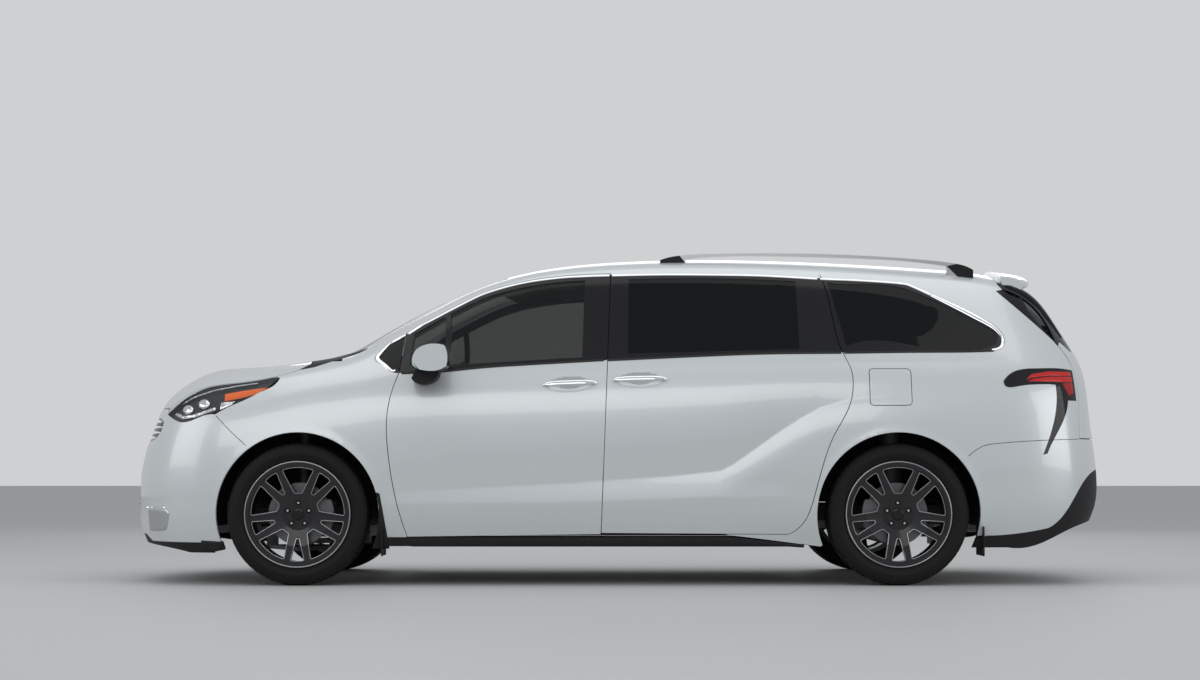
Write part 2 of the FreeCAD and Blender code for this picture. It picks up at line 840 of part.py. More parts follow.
roof_plan_shares = [
    [(-.1469, -.5998), (-.1469, .5998)],
    [(.2899, .5938)],
    [(.3981, .5617)],
    [(.3981, -.5617)],
    [(.2899, -.5938)],
]
windscreen_plan_shares = [
    [(-.2961, 0), (-.2922, .2407), (-.2783, .4614), (-.2600, .6219), (-.2513, .6700)],
    [(-.2281, .6780), (-.2010, .6680), (-.1353, .6419), (-.1082, .6239)],
    [(-.1179, .4012), (-.1237, .2006), (-.1256, 0), (-.1237, -.2006), (-.1179, -.4012), (-.1082, -.6239)],
    [(-.1353, -.6419), (-.2010, -.6680), (-.2281, -.6780), (-.2513, -.6700)],
    [(-.2600, -.6219), (-.2783, -.4614), (-.2922, -.2407), (-.2961, 0)],
]

# Body panels, cut from the wall along their outlines

front_hub = vector(front_axle_x, 0, hub_height)
rear_hub = vector(rear_axle_x, 0, hub_height)
body_reach = half_width + overrun
upper_body_floor = hub_height * 2
nose_floor = .46 * height
spoiler_half_width = .62 * half_width


def across(hub, radius, y_from, y_to):
    return cylinder_along(hub + sideways * y_from, hub + sideways * y_to, radius)


arches = [
    across(front_hub, size("arch_radius"), -body_reach, body_reach),
    across(rear_hub, size("arch_radius"), -body_reach, body_reach),
]
front_door_wire = outline(front_door_shares)
sliding_door_wire = outline(sliding_door_shares)
front_window = side_prism(outline(front_window_shares)).cut(
    side_prism(outline(division_bar_shares))
)
sliding_window = side_prism(outline(sliding_window_shares))
quarter_window = side_prism(outline(quarter_window_shares))
corner_window = side_prism(outline(corner_window_shares))
windscreen_prism = plan_prism(
    outline(windscreen_plan_shares, "plan"), upper_body_floor, height
)
roof_prism = plan_prism(outline(roof_plan_shares, "plan"), upper_body_floor, height + overrun)
cowl_prism = plan_prism(outline(cowl_plan_shares, "plan"), upper_body_floor, height)
tailgate_wire = outline(tailgate_shares)
tailgate_opening = side_prism(grown(tailgate_wire, shut_gap), 0)
hood_wire = outline(hood_plan_shares, "plan")
nose_wire = outline(nose_shares)
nose_cut = side_prism(nose_wire, 0)
hood_opening = plan_prism(grown(hood_wire, size("hood_gap")), nose_floor, height).cut(nose_cut)
skin_layer = outer_body.cut(under_skin)
lamp_layer = outer_body.cut(body_moved_in(size("lamp_depth")))
tail_lamp_space = side_prism(outline(tail_lamp_shares)).common(lamp_layer)
headlamp_prism = side_prism(outline(headlamp_shares))


def set_back_inside(panel, rim_zone):
    # The panel's inner layers stop short of its outer skin's edge, as a pressed panel's do
    return panel.cut(rim_zone.common(under_skin))


def door_rebate(wire):
    # The pocket that a door shuts into, and the opening behind it
    pocket = side_prism(grown(wire, shut_gap)).cut(seal_space)
    return [pocket, side_prism(grown(wire, -size("seal_lap")))]


def both_sides(shape):
    return Part.makeCompound(shape.Solids + mirrored(shape).Solids)


# The front doors, with their window openings and division bars
front_door_rim = side_prism(front_door_wire).cut(
    side_prism(grown(front_door_wire, -size("inner_setback")))
)
front_door = body_wall.common(side_prism(front_door_wire))
front_door = largest_solids(set_back_inside(front_door, front_door_rim).cut(front_window))
add_piece("front_door_left", front_door)
add_piece("front_door_right", mirrored(front_door))
front_pane = glass_layer.common(front_window)
add_piece("front_door_glass_left", front_pane)
add_piece("front_door_glass_right", mirrored(front_pane))

# The sliding doors, whose outer skin reaches up over the roof's edge
roof_band = side_prism(outline(roof_band_shares)).common(skin_layer)
sliding_door = body_wall.common(side_prism(sliding_door_wire)).fuse(roof_band)
sliding_door = largest_solids(sliding_door.cut([sliding_window, roof_prism]))
add_piece("sliding_door_left", sliding_door)
add_piece("sliding_door_right", mirrored(sliding_door))

# Every side window that doesn't swing with a door
side_panes = glass_layer.common(sliding_window.fuse([quarter_window, corner_window]))
add_piece("side_windows", both_sides(side_panes))

# The body sides: sill, pillars, roof rail and rear quarter in one pressing
body_side = frame_wall.common(side_prism(outline(body_side_shares))).cut([
    windscreen_prism,
    roof_prism,
    cowl_prism,
    hood_opening,
    roof_band,
    quarter_window,
    corner_window,
    tailgate_opening,
    tail_lamp_space,
] + door_rebate(front_door_wire) + door_rebate(sliding_door_wire) + arches)
body_side = largest_solids(body_side)
fuel_pocket = side_prism(grown(outline(fuel_door_shares), shut_gap))
fuel_pocket = fuel_pocket.cut(body_moved_in(size("fuel_pocket_depth")))
add_piece("body_side_left", body_side.cut(fuel_pocket))
add_piece("body_side_right", mirrored(body_side))
add_piece("fuel_door", side_prism(outline(fuel_door_shares)).common(skin_layer))

# Roof, windscreen and the cowl between the windscreen and the hood
roof_panel = body_wall.common(roof_prism).cut([windscreen_prism, tailgate_opening])
add_piece("roof_panel", largest_solids(roof_panel))
add_piece("windscreen", largest_solids(glass_layer.common(windscreen_prism)))
cowl = body_wall.common(cowl_prism)
add_piece("cowl", largest_solids(cowl))

# The hood, with its inner layer set back from its edges
hood = body_wall.common(plan_prism(hood_wire, nose_floor, height))
hood_rim = plan_prism(hood_wire, nose_floor, height).cut(
    plan_prism(grown(hood_wire, -size("inner_setback")), nose_floor, height)
)
nose_clearance = side_prism(grown(nose_wire, size("hood_gap")), 0)
hood = largest_solids(set_back_inside(hood.cut(nose_clearance), hood_rim))
add_piece("hood", hood)

# Front fenders, bumper, grille and lamps
fender = body_wall.common(side_prism(outline(fender_shares)))
fender = largest_solids(fender.cut([hood_opening, cowl_prism, headlamp_prism] + arches))
add_piece("front_fenders", both_sides(fender))
headlamp = body_wall.common(headlamp_prism).cut(hood_opening)
add_piece("headlamps", both_sides(largest_solids(headlamp)))
mouths = [
    front_prism(outline(shares, "front"), -half_length - overrun, front_axle_x)
    for shares in (grille_shares, intake_shares)
]
bumper_prism = side_prism(outline(front_bumper_shares), 0)
front_bumper = body_wall.common(bumper_prism.fuse(nose_cut))
front_bumper = front_bumper.cut(mouths + [hood_opening] + arches)
add_piece("front_bumper", largest_solids(front_bumper))
add_piece("front_valance", largest_solids(
    body_wall.common(side_prism(outline(front_valance_shares), 0)).cut(arches)
))
grille_layer = body_moved_in(size("grille_depth")).cut(inner_space)
grille_layer = body_moved_in(size("grille_depth")).cut(inner_space)
grille_frames = []
for frame_shares, opening_shares in (
    (grille_shares, grille_opening_shares),
    (intake_shares, intake_opening_shares),
):
    wire = outline(frame_shares, "front")
    ring = front_prism(wire, -half_length - overrun, front_axle_x)
    openings = front_prism(
        outline(opening_shares, "front"), -half_length - overrun, front_axle_x
    )
    bounds = wire.BoundBox
    bar_pitch = size("grille_bar") * bar_pitch_share
    bar_count = int((bounds.ZMax - bounds.ZMin) / bar_pitch)
    bars = []
    for number in range(1, bar_count):
        low = bounds.ZMin + bar_pitch * number
        bars.append(block(
            -half_length - overrun, front_axle_x,
            bounds.YMin, bounds.YMax,
            low, low + size("grille_bar"),
        ))
    pattern = ring.cut(openings.cut(bars))
    pattern = pattern.cut([headlamp_prism, mirrored(headlamp_prism)])
    grille_frames.append(largest_solids(grille_layer.common(pattern)))
add_piece("grille", Part.makeCompound(grille_frames))

# Rear bumper, valance, lamps, tailgate and spoiler
tail_lamp_pair = [tail_lamp_space, mirrored(tail_lamp_space)]
rear_bumper = body_wall.common(side_prism(outline(rear_bumper_shares), 0))
rear_bumper = rear_bumper.cut(arches + tail_lamp_pair)
add_piece("rear_bumper", largest_solids(rear_bumper))
rear_valance = body_wall.common(side_prism(outline(rear_valance_shares), 0)).cut(arches)
add_piece("rear_valance", largest_solids(rear_valance))
add_piece("tail_lamps", both_sides(largest_solids(tail_lamp_space.cut(tailgate_opening))))
tailgate_rim = side_prism(tailgate_wire, 0).cut(
    side_prism(grown(tailgate_wire, -size("inner_setback")), 0)
)
rear_window = front_prism(
    outline(rear_window_shares, "front"), rear_axle_x, half_length + overrun
)
tailgate = body_wall.common(side_prism(tailgate_wire, 0))
tailgate = set_back_inside(tailgate, tailgate_rim).cut(rear_window)
add_piece("tailgate", largest_solids(tailgate))
add_piece("tailgate_glass", largest_solids(glass_layer.common(rear_window)))
spoiler = side_prism(outline(spoiler_shares), 0).common(front_prism(
    outline(spoiler_crown_shares, "front"), rear_axle_x, half_length
))
fin = side_prism(outline(spoiler_fin_shares)).common(block(
    rear_axle_x, half_length,
    -spoiler_half_width, size("spoiler_fin") - spoiler_half_width,
    0, height,
))
spoiler = spoiler.fuse([fin, mirrored(fin)]).cut(outer_body)
add_piece("spoiler", largest_solids(spoiler))

# Roof rails on the roof's edges, open underneath
rail_outline = outline([rail_top_shares, [(rail_top_shares[-1][0], rail_foot_share)],
                        [(rail_top_shares[0][0], rail_foot_share)]])
rail_gap = outline([rail_gap_shares, [(rail_gap_shares[-1][0], rail_foot_share)],
                    [(rail_gap_shares[0][0], rail_foot_share)]])
rail_outer_y = -size("rail_spacing") / 2 - size("rail_width") / 2
rail = side_prism(rail_outline).cut(side_prism(rail_gap)).common(block(
    0, half_length, rail_outer_y, rail_outer_y + size("rail_width"), 0, height * 2
))
add_piece("roof_rails", both_sides(largest_solids(rail.cut(outer_body))))

# Wheel houses: half-round liners, the front pair with strut towers

def steering_axis_at(level):
    # The right-hand steering axis leans inwards as it rises
    lean = math.tan(math.radians(size("steering_axis_lean")))
    offset = size("steering_axis_offset") + (level - hub_height) * lean
    return vector(front_axle_x, wheel_centre_y - offset, level)


def wheel_liner(hub):
    outer_y = half_width - size("liner_skin_gap")
    shell = across(hub, size("liner_radius") + size("liner_wall"), size("liner_inner_edge"), outer_y)
    hollow = across(
        hub, size("liner_radius"), size("liner_inner_edge") + size("liner_wall"), outer_y
    )
    return shell, hollow


liner_skirt = block(
    -half_length, half_length, -body_reach, body_reach, 0, size("liner_bottom")
).fuse(block(
    -half_length, half_length,
    0, size("liner_inner_edge") + size("liner_wall") * 2,
    0, size("liner_axle_slot"),
))
strut_top = steering_axis_at(size("strut_top_height"))
strut_foot = steering_axis_at(hub_height)
strut_line = (strut_top - strut_foot).normalize()
tower_top = strut_top + strut_line * (size("tower_wall") + clearance)
tower_shell = cylinder_along(strut_foot, tower_top, size("tower_radius") + size("tower_wall"))
tower_hollow = cylinder_along(strut_foot, strut_top + strut_line * clearance, size("tower_radius"))
front_shell, front_hollow = wheel_liner(front_hub)
rear_shell, rear_hollow = wheel_liner(rear_hub)
front_liner = front_shell.fuse(tower_shell).cut([front_hollow, tower_hollow, liner_skirt])
rear_liner = rear_shell.cut([rear_hollow, liner_skirt])
front_liner = largest_solids(front_liner.common(cabin_space))
rear_liner = largest_solids(rear_liner.common(cabin_space))
liners = front_liner.Solids + rear_liner.Solids
liners += [mirrored(liner) for liner in liners]
add_piece("wheel_liners", Part.makeCompound(liners))
wheel_house_space = [
    across(front_hub, size("liner_radius") + size("liner_wall"),
           size("liner_inner_edge"), body_reach),
    across(rear_hub, size("liner_radius") + size("liner_wall"),
           size("liner_inner_edge"), body_reach),
    tower_shell,
]
wheel_house_space += [mirrored(space) for space in wheel_house_space]

# Floor, sills, cross members, frame rails and firewall
floor_top = size("floor_height")
floor_bottom = floor_top - size("floor_plate")
frame_bottom = floor_bottom - size("frame_depth")
firewall_x = front_axle_x + size("liner_radius") - size("firewall_lead")
floor_rear_x = rear_axle_x + size("liner_radius") + size("floor_tail")
floor_parts = [block(firewall_x, floor_rear_x, -half_width, half_width, floor_bottom, floor_top)]
floor_parts.append(block(
    firewall_x, firewall_x + size("floor_plate"),
    -half_width, half_width, floor_bottom, size("firewall_top"),
))
sill_front_x = front_axle_x + size("liner_radius") + overrun
sill_rear_x = rear_axle_x - size("liner_radius") - overrun
for side in (-1, 1):
    rail_y = side * size("frame_spacing") / 2
    sill_y = side * size("sill_spacing") / 2
    floor_parts.append(block(
        sill_front_x, sill_rear_x,
        sill_y - size("sill_width") / 2, sill_y + size("sill_width") / 2,
        frame_bottom, floor_bottom,
    ))
    floor_parts.append(block(
        front_axle_x - size("frame_nose"), floor_rear_x,
        rail_y - size("frame_width") / 2, rail_y + size("frame_width") / 2,
        frame_bottom, floor_bottom,
    ))
for share in cross_member_shares:
    member_x = sill_front_x + (sill_rear_x - sill_front_x) * share
    floor_parts.append(block(
        member_x - size("frame_width") / 2, member_x + size("frame_width") / 2,
        -size("sill_spacing") / 2, size("sill_spacing") / 2,
        frame_bottom + size("frame_width") / 2, floor_bottom,
    ))
floor_pan = floor_parts[0].fuse(floor_parts[1:]).common(cabin_space).cut(wheel_house_space)
add_piece("floor_pan", largest_solids(floor_pan))

# Dashboard, steering wheel and seats
dash_outline = outline(dash_shares)
dash_half_width = size("dash_width") / 2
dash = side_prism(dash_outline, 0).common(block(
    -half_length, 0, -dash_half_width, dash_half_width, 0, height
))
dash = dash.common(cabin_space).cut(block(
    -half_length, firewall_x + size("floor_plate"), -half_width, half_width, 0, height
))
add_piece("dashboard", largest_solids(dash.cut(wheel_house_space)))

wheel_tilt = math.radians(size("steering_wheel_tilt"))
column_line = vector(math.cos(wheel_tilt), 0, math.sin(wheel_tilt))
grip_centre = vector(
    size("steering_wheel_x"), -size("front_seat_spacing") / 2, size("steering_wheel_height")
)
grip_radius = size("steering_wheel_radius")
grip_thickness = size("steering_grip_radius")
grip = Part.makeTorus(grip_radius, grip_thickness, grip_centre, column_line)
boss_back = grip_centre - column_line * size("steering_boss_depth")
boss = cylinder_along(boss_back, grip_centre, size("steering_boss_radius"))
column = cylinder_along(
    grip_centre - column_line * size("steering_column_length"),
    boss_back,
    size("steering_column_radius"),
)
spokes = []
for angle in steering_spoke_angles:
    spoke = block(
        0, grip_radius,
        -grip_thickness, grip_thickness,
        -grip_thickness, 0,
    )
    spoke.rotate(origin, upwards, angle)
    spokes.append(spoke)
spoke_set = Part.makeCompound(spokes)
spoke_set.Placement = FreeCAD.Placement(
    grip_centre, FreeCAD.Rotation(upwards, column_line)
).multiply(spoke_set.Placement)
steering_wheel = grip.fuse([boss, column] + spoke_set.Solids).cut(dash)
add_piece("steering_wheel", largest_solids(steering_wheel))


def seat(front_x, centre_y, width, base_height):
    # A cushion, a leaning back, a head rest per place and a plinth, as one closed solid
    cushion_depth = size("cushion_depth")
    thickness = size("cushion_thickness")
    back_height = size("seat_back_height")
    cushion = block(
        front_x, front_x + cushion_depth,
        centre_y - width / 2, centre_y + width / 2,
        base_height, base_height + thickness,
    )
    back = block(
        0, size("seat_back_thickness"),
        centre_y - width / 2, centre_y + width / 2,
        0, back_height,
    )
    rest = block(
        0, size("head_rest_thickness"),
        centre_y - size("head_rest_width") / 2, centre_y + size("head_rest_width") / 2,
        back_height - clearance, back_height + size("head_rest_height"),
    )
    rests = []
    places = max(1, round(width / size("seat_width")))
    for place in range(places):
        one = rest.copy()
        one.translate(sideways * (place - (places - 1) / 2) * size("seat_width"))
        rests.append(one)
    back = rounded(back).fuse([rounded(one) for one in rests])
    back.rotate(vector(0, 0, 0), sideways, size("seat_back_lean"))
    back.translate(vector(front_x + cushion_depth - thickness / 2, 0, base_height))
    plinth = block(
        front_x + thickness, front_x + cushion_depth - thickness,
        centre_y - width / 2 + thickness / 2, centre_y + width / 2 - thickness / 2,
        floor_top, base_height + thickness / 2,
    )
    return rounded(cushion).fuse([back, plinth])


def rounded(shape):
    return shape.makeFillet(size("cushion_round"), shape.Edges)


front_y = size("front_seat_spacing") / 2
seat_base = floor_top + size("seat_plinth")
for name, front_x, count in (
    ("front_seats", size("front_seat_x"), 2),
    ("second_row_seats", size("second_row_x"), 2),
):
    pair = seat(front_x, -front_y, size("seat_width"), seat_base)
    add_piece(name, both_sides(pair))
bench = seat(size("third_row_x"), 0, size("seat_width") * 2, seat_base)
add_piece("third_row_bench", bench)

# Engine, subframe, tank and exhaust under the floor
engine = doc.addObject("Part::Box", "engine_block")
engine.Label = "engine_block"
engine.setExpression("Length", "sizes.engine_length")
engine.setExpression("Width", "sizes.engine_width")
engine.setExpression("Height", "sizes.engine_depth")
engine.setExpression("Placement.Base.x", "sizes.engine_x")
engine.setExpression("Placement.Base.y", "-sizes.engine_width / 2")
engine.setExpression(
    "Placement.Base.z", "sizes.subframe_height + sizes.subframe_bar + sizes.running_clearance"
)
pieces["engine_block"] = engine

tank_blank = doc.addObject("Part::Box", "tank_blank")
tank_blank.setExpression("Length", "sizes.tank_length")
tank_blank.setExpression("Width", "sizes.tank_width")
tank_blank.setExpression("Height", "sizes.tank_depth")
tank_blank.setExpression("Placement.Base.x", "sizes.tank_x")
tank_blank.setExpression("Placement.Base.y", "-sizes.tank_width + sizes.tank_offset")
tank_blank.setExpression(
    "Placement.Base.z",
    "sizes.floor_height - sizes.floor_plate - sizes.tank_depth - sizes.running_clearance",
)
doc.recompute()
tank = tank_blank.Shape.makeFillet(size("tank_round"), tank_blank.Shape.Edges)
tank = tank.cut(pieces["floor_pan"].Shape)
add_piece("fuel_tank", largest_solids(tank))

subframe_z = size("subframe_height")
subframe_bar = size("subframe_bar")
subframe_half = size("subframe_width") / 2
subframe_front = front_axle_x - size("subframe_reach")
subframe_rear = front_axle_x + size("subframe_reach")
subframe_parts = []
for bar_x in (subframe_front, subframe_rear):
    subframe_parts.append(block(
        bar_x - subframe_bar / 2, bar_x + subframe_bar / 2,
        -subframe_half, subframe_half,
        subframe_z, subframe_z + subframe_bar,
    ))
for side in (-1, 1):
    rail_y = side * (subframe_half - subframe_bar / 2)
    subframe_parts.append(block(
        subframe_front, subframe_rear,
        rail_y - subframe_bar / 2, rail_y + subframe_bar / 2,
        subframe_z, subframe_z + subframe_bar,
    ))
    ball = steering_axis_at(size("ball_joint_height"))
    ball.y = ball.y * side
    arm_top = size("ball_joint_height") - size("ball_joint_radius") - clearance
    arm = Part.Face(Part.makePolygon([
        vector(subframe_front + subframe_bar, rail_y, arm_top - size("arm_thickness")),
        vector(front_axle_x - size("ball_joint_radius"), ball.y, arm_top - size("arm_thickness")),
        vector(front_axle_x + size("ball_joint_radius"), ball.y, arm_top - size("arm_thickness")),
        vector(subframe_rear - subframe_bar, rail_y, arm_top - size("arm_thickness")),
        vector(subframe_front + subframe_bar, rail_y, arm_top - size("arm_thickness")),
    ])).extrude(upwards * size("arm_thickness"))
    subframe_parts.append(arm)
    for bracket_x in (subframe_front + subframe_bar, subframe_rear - subframe_bar * 2):
        subframe_parts.append(block(
            bracket_x, bracket_x + subframe_bar,
            rail_y - subframe_bar / 2, rail_y + subframe_bar / 2,
            arm_top - size("arm_thickness"), subframe_z,
        ))
    subframe_parts.append(block(
        subframe_front - subframe_bar / 2, subframe_front + subframe_bar / 2,
        rail_y - subframe_bar / 2, rail_y + subframe_bar / 2,
        subframe_z, frame_bottom,
    ))
    subframe_parts.append(block(
        subframe_rear - subframe_bar / 2, subframe_rear + subframe_bar / 2,
        rail_y - subframe_bar / 2, rail_y + subframe_bar / 2,
        subframe_z, frame_bottom,
    ))
subframe = subframe_parts[0].fuse(subframe_parts[1:])
add_piece("front_subframe", subframe)

catalyst_share = 4 / 3
exhaust_y = size("exhaust_offset")
exhaust_level = size("exhaust_height")
pipe_start = vector(subframe_rear + subframe_bar * 2, exhaust_y, exhaust_level)
pipe_end = vector(size("muffler_x"), exhaust_y, exhaust_level)
pipe = cylinder_along(pipe_start, pipe_end, size("exhaust_radius"))
muffler_end = pipe_end + lengthwise * size("muffler_length")
muffler = cylinder_along(pipe_end, muffler_end, size("muffler_radius"))
catalyst = cylinder_along(
    pipe_start + lengthwise * size("muffler_length") / 4,
    pipe_start + lengthwise * size("muffler_length"),
    size("exhaust_radius") * catalyst_share,
)
hanger = block(
    pipe_end.x, pipe_end.x + size("exhaust_radius"),
    exhaust_y - size("exhaust_radius"), exhaust_y + size("exhaust_radius"),
    exhaust_level, floor_bottom,
)
exhaust = pipe.fuse([muffler, catalyst, hanger]).cut(pieces["floor_pan"].Shape)
add_piece("exhaust", largest_solids(exhaust))

# Wheels

def revolved(points, centre):
    # A profile of (radius, place along the axle) turned about the wheel's axle
    wire = Part.makePolygon([
        vector(centre.x, centre.y + along, centre.z + radius) for radius, along in points
    ])
    return Part.Face(wire).revolve(centre, sideways, 360)


def tyre_shape(centre):
    half = size("tyre_width") / 2
    outer = size("tyre_radius")
    seat_radius = size("rim_seat_radius") + clearance
    bead = size("rim_width") / 2 - size("rim_lip_width") - clearance
    shoulder = size("tyre_shoulder")
    crown = size("tread_crown")
    profile = [
        (seat_radius, -bead),
        (size("rim_lip_radius") + clearance, -bead),
        ((outer + seat_radius) / 2, -half),
        (outer - shoulder - crown, -half + crown),
        (outer, -half + shoulder),
        (outer, half - shoulder),
        (outer - shoulder - crown, half - crown),
        ((outer + seat_radius) / 2, half),
        (size("rim_lip_radius") + clearance, bead),
        (seat_radius, bead),
        (seat_radius, -bead),
    ]
    return revolved(profile, centre)


def window_prism(mid_angle, inner_radius, outer_radius, inner_half_angle, outer_half_angle):
    def at(radius, degrees):
        angle = math.radians(degrees)
        return vector(radius * math.cos(angle), 0, radius * math.sin(angle))

    outer_low = at(outer_radius, mid_angle - outer_half_angle)
    outer_mid = at(outer_radius, mid_angle)
    outer_high = at(outer_radius, mid_angle + outer_half_angle)
    inner_low = at(inner_radius, mid_angle - inner_half_angle)
    inner_mid = at(inner_radius - size("stud_hole_radius"), mid_angle)
    inner_high = at(inner_radius, mid_angle + inner_half_angle)
    wire = Part.Wire([
        Part.Arc(outer_low, outer_mid, outer_high).toShape(),
        Part.LineSegment(outer_high, inner_high).toShape(),
        Part.Arc(inner_high, inner_mid, inner_low).toShape(),
        Part.LineSegment(inner_low, outer_low).toShape(),
    ])
    face = Part.Face(wire)
    face.translate(sideways * -size("rim_width"))
    prism = face.extrude(sideways * 2 * size("rim_width"))
    upright = [edge for edge in prism.Edges if abs(edge.tangentAt(edge.FirstParameter).y) > .9]
    return prism.makeFillet(size("window_corner_radius"), upright)


def rim_shape():
    # Barrel, dished spoked face, hub pad and brake disc, for a wheel whose outer side is -Y
    half = size("rim_width") / 2
    lip = size("rim_lip_radius")
    seat_radius = size("rim_seat_radius")
    barrel = seat_radius - size("rim_barrel_wall")
    lip_width = size("rim_lip_width")
    face_edge = -half + size("spoke_face_drop")
    face_hub = -half + size("spoke_hub_drop")
    thickness = size("spoke_thickness")
    bore = size("centre_bore_radius")
    pad = size("hub_pad_radius")
    pad_back = face_hub + size("hub_pad_thickness")
    tub = revolved([
        (barrel, -half), (lip, -half), (lip, -half + lip_width), (seat_radius, -half + lip_width),
        (seat_radius, half - lip_width), (lip, half - lip_width), (lip, half), (barrel, half),
        (barrel, -half),
    ], origin)
    disc = revolved([
        (bore, face_hub), (pad, face_hub),
        ((pad + barrel) / 2, (face_hub + face_edge) / 2 - crown_share * thickness),
        (barrel + clearance, face_edge), (barrel + clearance, face_edge + thickness),
        (pad, face_hub + thickness), (pad, pad_back), (bore, pad_back), (bore, face_hub),
    ], origin)
    cuts = []
    for number in range(spoke_pairs):
        turn = 90 + number * 360 / spoke_pairs
        cuts.append(window_prism(
            turn, wide_window_shares[0] * barrel, wide_window_shares[1] * barrel,
            wide_window_angles[0], wide_window_angles[1],
        ))
        cuts.append(window_prism(
            turn + 180 / spoke_pairs, slot_shares[0] * barrel, slot_shares[1] * barrel,
            slot_angles[0], slot_angles[1],
        ))
        angle = math.radians(turn)
        stud = vector(math.cos(angle), 0, math.sin(angle)) * (size("stud_circle") / 2)
        cuts.append(across(stud, size("stud_hole_radius"), -half, half))
        cuts.append(across(
            stud, size("nut_recess_radius"), -half, face_hub + size("nut_recess_depth")
        ))
    rotor_front = pad_back
    rotor_face = rotor_front + size("disc_setback")
    rotor = revolved([
        (bore, rotor_front - clearance), (pad, rotor_front - clearance), (pad, rotor_face),
        (size("disc_radius"), rotor_face),
        (size("disc_radius"), rotor_face + size("disc_thickness")),
        (bore + size("rim_barrel_wall"), rotor_face + size("disc_thickness")),
        (bore + size("rim_barrel_wall"), rotor_front + clearance), (bore, rotor_front + clearance),
        (bore, rotor_front - clearance),
    ], origin)
    return tub.fuse([disc.cut(cuts)]).fuse(rotor), rotor_face


rim, rotor_face = rim_shape()
rotor_back = rotor_face + size("disc_thickness")
left_hubs = {
    "front": vector(front_axle_x, -wheel_centre_y, hub_height),
    "rear": vector(rear_axle_x, -wheel_centre_y, hub_height),
}
for end, hub in left_hubs.items():
    placed_rim = rim.copy()
    placed_rim.translate(hub)
    placed_tyre = tyre_shape(hub)
    add_piece(f"wheel_rim_{end}_left", placed_rim)
    add_piece(f"wheel_rim_{end}_right", mirrored(placed_rim))
    add_piece(f"tyre_{end}_left", placed_tyre)
    add_piece(f"tyre_{end}_right", mirrored(placed_tyre))


# Knuckles with their struts and calipers, and the rear axle

def caliper(hub, facing):
    # Straddles the brake disc over part of a ring, ahead of or behind the hub
    gap = size("caliper_clearance")
    middle = (rotor_face + rotor_back) / 2
    half = size("caliper_width") / 2
    outer_radius = size("disc_radius") + gap * 3
    ring = across(hub, outer_radius, middle - half, middle + half).cut(
        across(hub, size("hub_pad_radius") + gap * 2, middle - half, middle + half)
    )
    ring = ring.common(block(
        min(hub.x, hub.x + facing * half_length), max(hub.x, hub.x + facing * half_length),
        -body_reach, body_reach,
        hub.z - size("caliper_width"), hub.z + size("caliper_width"),
    ))
    return ring.cut(across(hub, size("disc_radius") + gap, rotor_face - gap, rotor_back + gap))


def hub_carrier(hub, inner_y):
    # A spindle inside the wheel's bore, a round flange behind the disc and a stub inboard
    gap = size("caliper_clearance")
    spindle = across(hub, size("centre_bore_radius") - clearance, rotor_face, rotor_back + gap)
    flange = across(hub, size("hub_pad_radius"), rotor_back + gap, rotor_back + gap * 3)
    stub = across(hub, size("hub_pad_radius") / 2, rotor_back + gap * 3, inner_y - hub.y)
    middle = (rotor_face + rotor_back) / 2
    half = size("caliper_width") / 2
    bracket = block(
        hub.x - size("disc_radius"), hub.x + size("disc_radius"),
        hub.y + rotor_back + gap, hub.y + middle + half,
        hub.z - size("centre_bore_radius"), hub.z + size("centre_bore_radius"),
    )
    return spindle.fuse([flange, stub, bracket])


left_axis_top = vector(strut_top.x, -strut_top.y, strut_top.z)
left_axis_foot = vector(strut_foot.x, -strut_foot.y, strut_foot.z)
left_axis = (left_axis_top - left_axis_foot).normalize()
ball_centre = steering_axis_at(size("ball_joint_height"))
ball_centre.y = -ball_centre.y
spring_start = steering_axis_at(size("spring_height"))
spring_start.y = -spring_start.y
strut = cylinder_along(left_axis_foot, left_axis_top, size("strut_radius"))
spring = cylinder_along(spring_start, left_axis_top, size("spring_radius"))
post = cylinder_along(ball_centre, left_axis_foot, size("strut_radius"))
ball = Part.makeSphere(size("ball_joint_radius"), ball_centre)
front_left = left_hubs["front"]
knuckle = hub_carrier(front_left, left_axis_foot.y).fuse(
    [caliper(front_left, 1), strut, spring, post, ball]
)
add_piece("knuckle_left", largest_solids(knuckle))
add_piece("knuckle_right", mirrored(largest_solids(knuckle)))

rear_left = left_hubs["rear"]
rear_end_y = -size("rear_beam_length") / 2
rear_parts = []
for flip in (False, True):
    half_axle = hub_carrier(rear_left, rear_end_y).fuse([caliper(rear_left, -1)])
    arm = block(
        rear_axle_x - size("trailing_arm_length"), rear_axle_x,
        rear_end_y, rear_end_y + size("rear_beam_radius") * 2,
        hub_height - size("rear_beam_radius") * 2, hub_height - size("rear_beam_radius"),
    )
    pivot = block(
        rear_axle_x - size("trailing_arm_length"),
        rear_axle_x - size("trailing_arm_length") + size("rear_beam_radius"),
        rear_end_y, rear_end_y + size("rear_beam_radius") * 2,
        hub_height - size("rear_beam_radius") * 2, floor_bottom - clearance,
    )
    damper_foot = vector(rear_axle_x, rear_end_y + size("rear_beam_radius"), hub_height)
    damper = cylinder_along(
        damper_foot,
        damper_foot + upwards * (size("liner_radius") - clearance),
        size("strut_radius"),
    )
    spring_seat = damper_foot + upwards * size("disc_radius")
    coil = cylinder_along(
        spring_seat,
        damper_foot + upwards * (size("liner_radius") - size("liner_wall") * 2),
        size("spring_radius") - size("liner_wall"),
    )
    group = half_axle.fuse([arm, pivot, damper, coil])
    rear_parts.append(mirrored(group) if flip else group)
    bracket = block(
        rear_axle_x - size("rear_beam_radius"), rear_axle_x + size("rear_beam_radius"),
        rear_end_y, rear_end_y + size("rear_beam_radius") * 2,
        hub_height - size("rear_beam_drop"), hub_height + size("rear_beam_radius"),
    )
    rear_parts.append(mirrored(bracket) if flip else bracket)
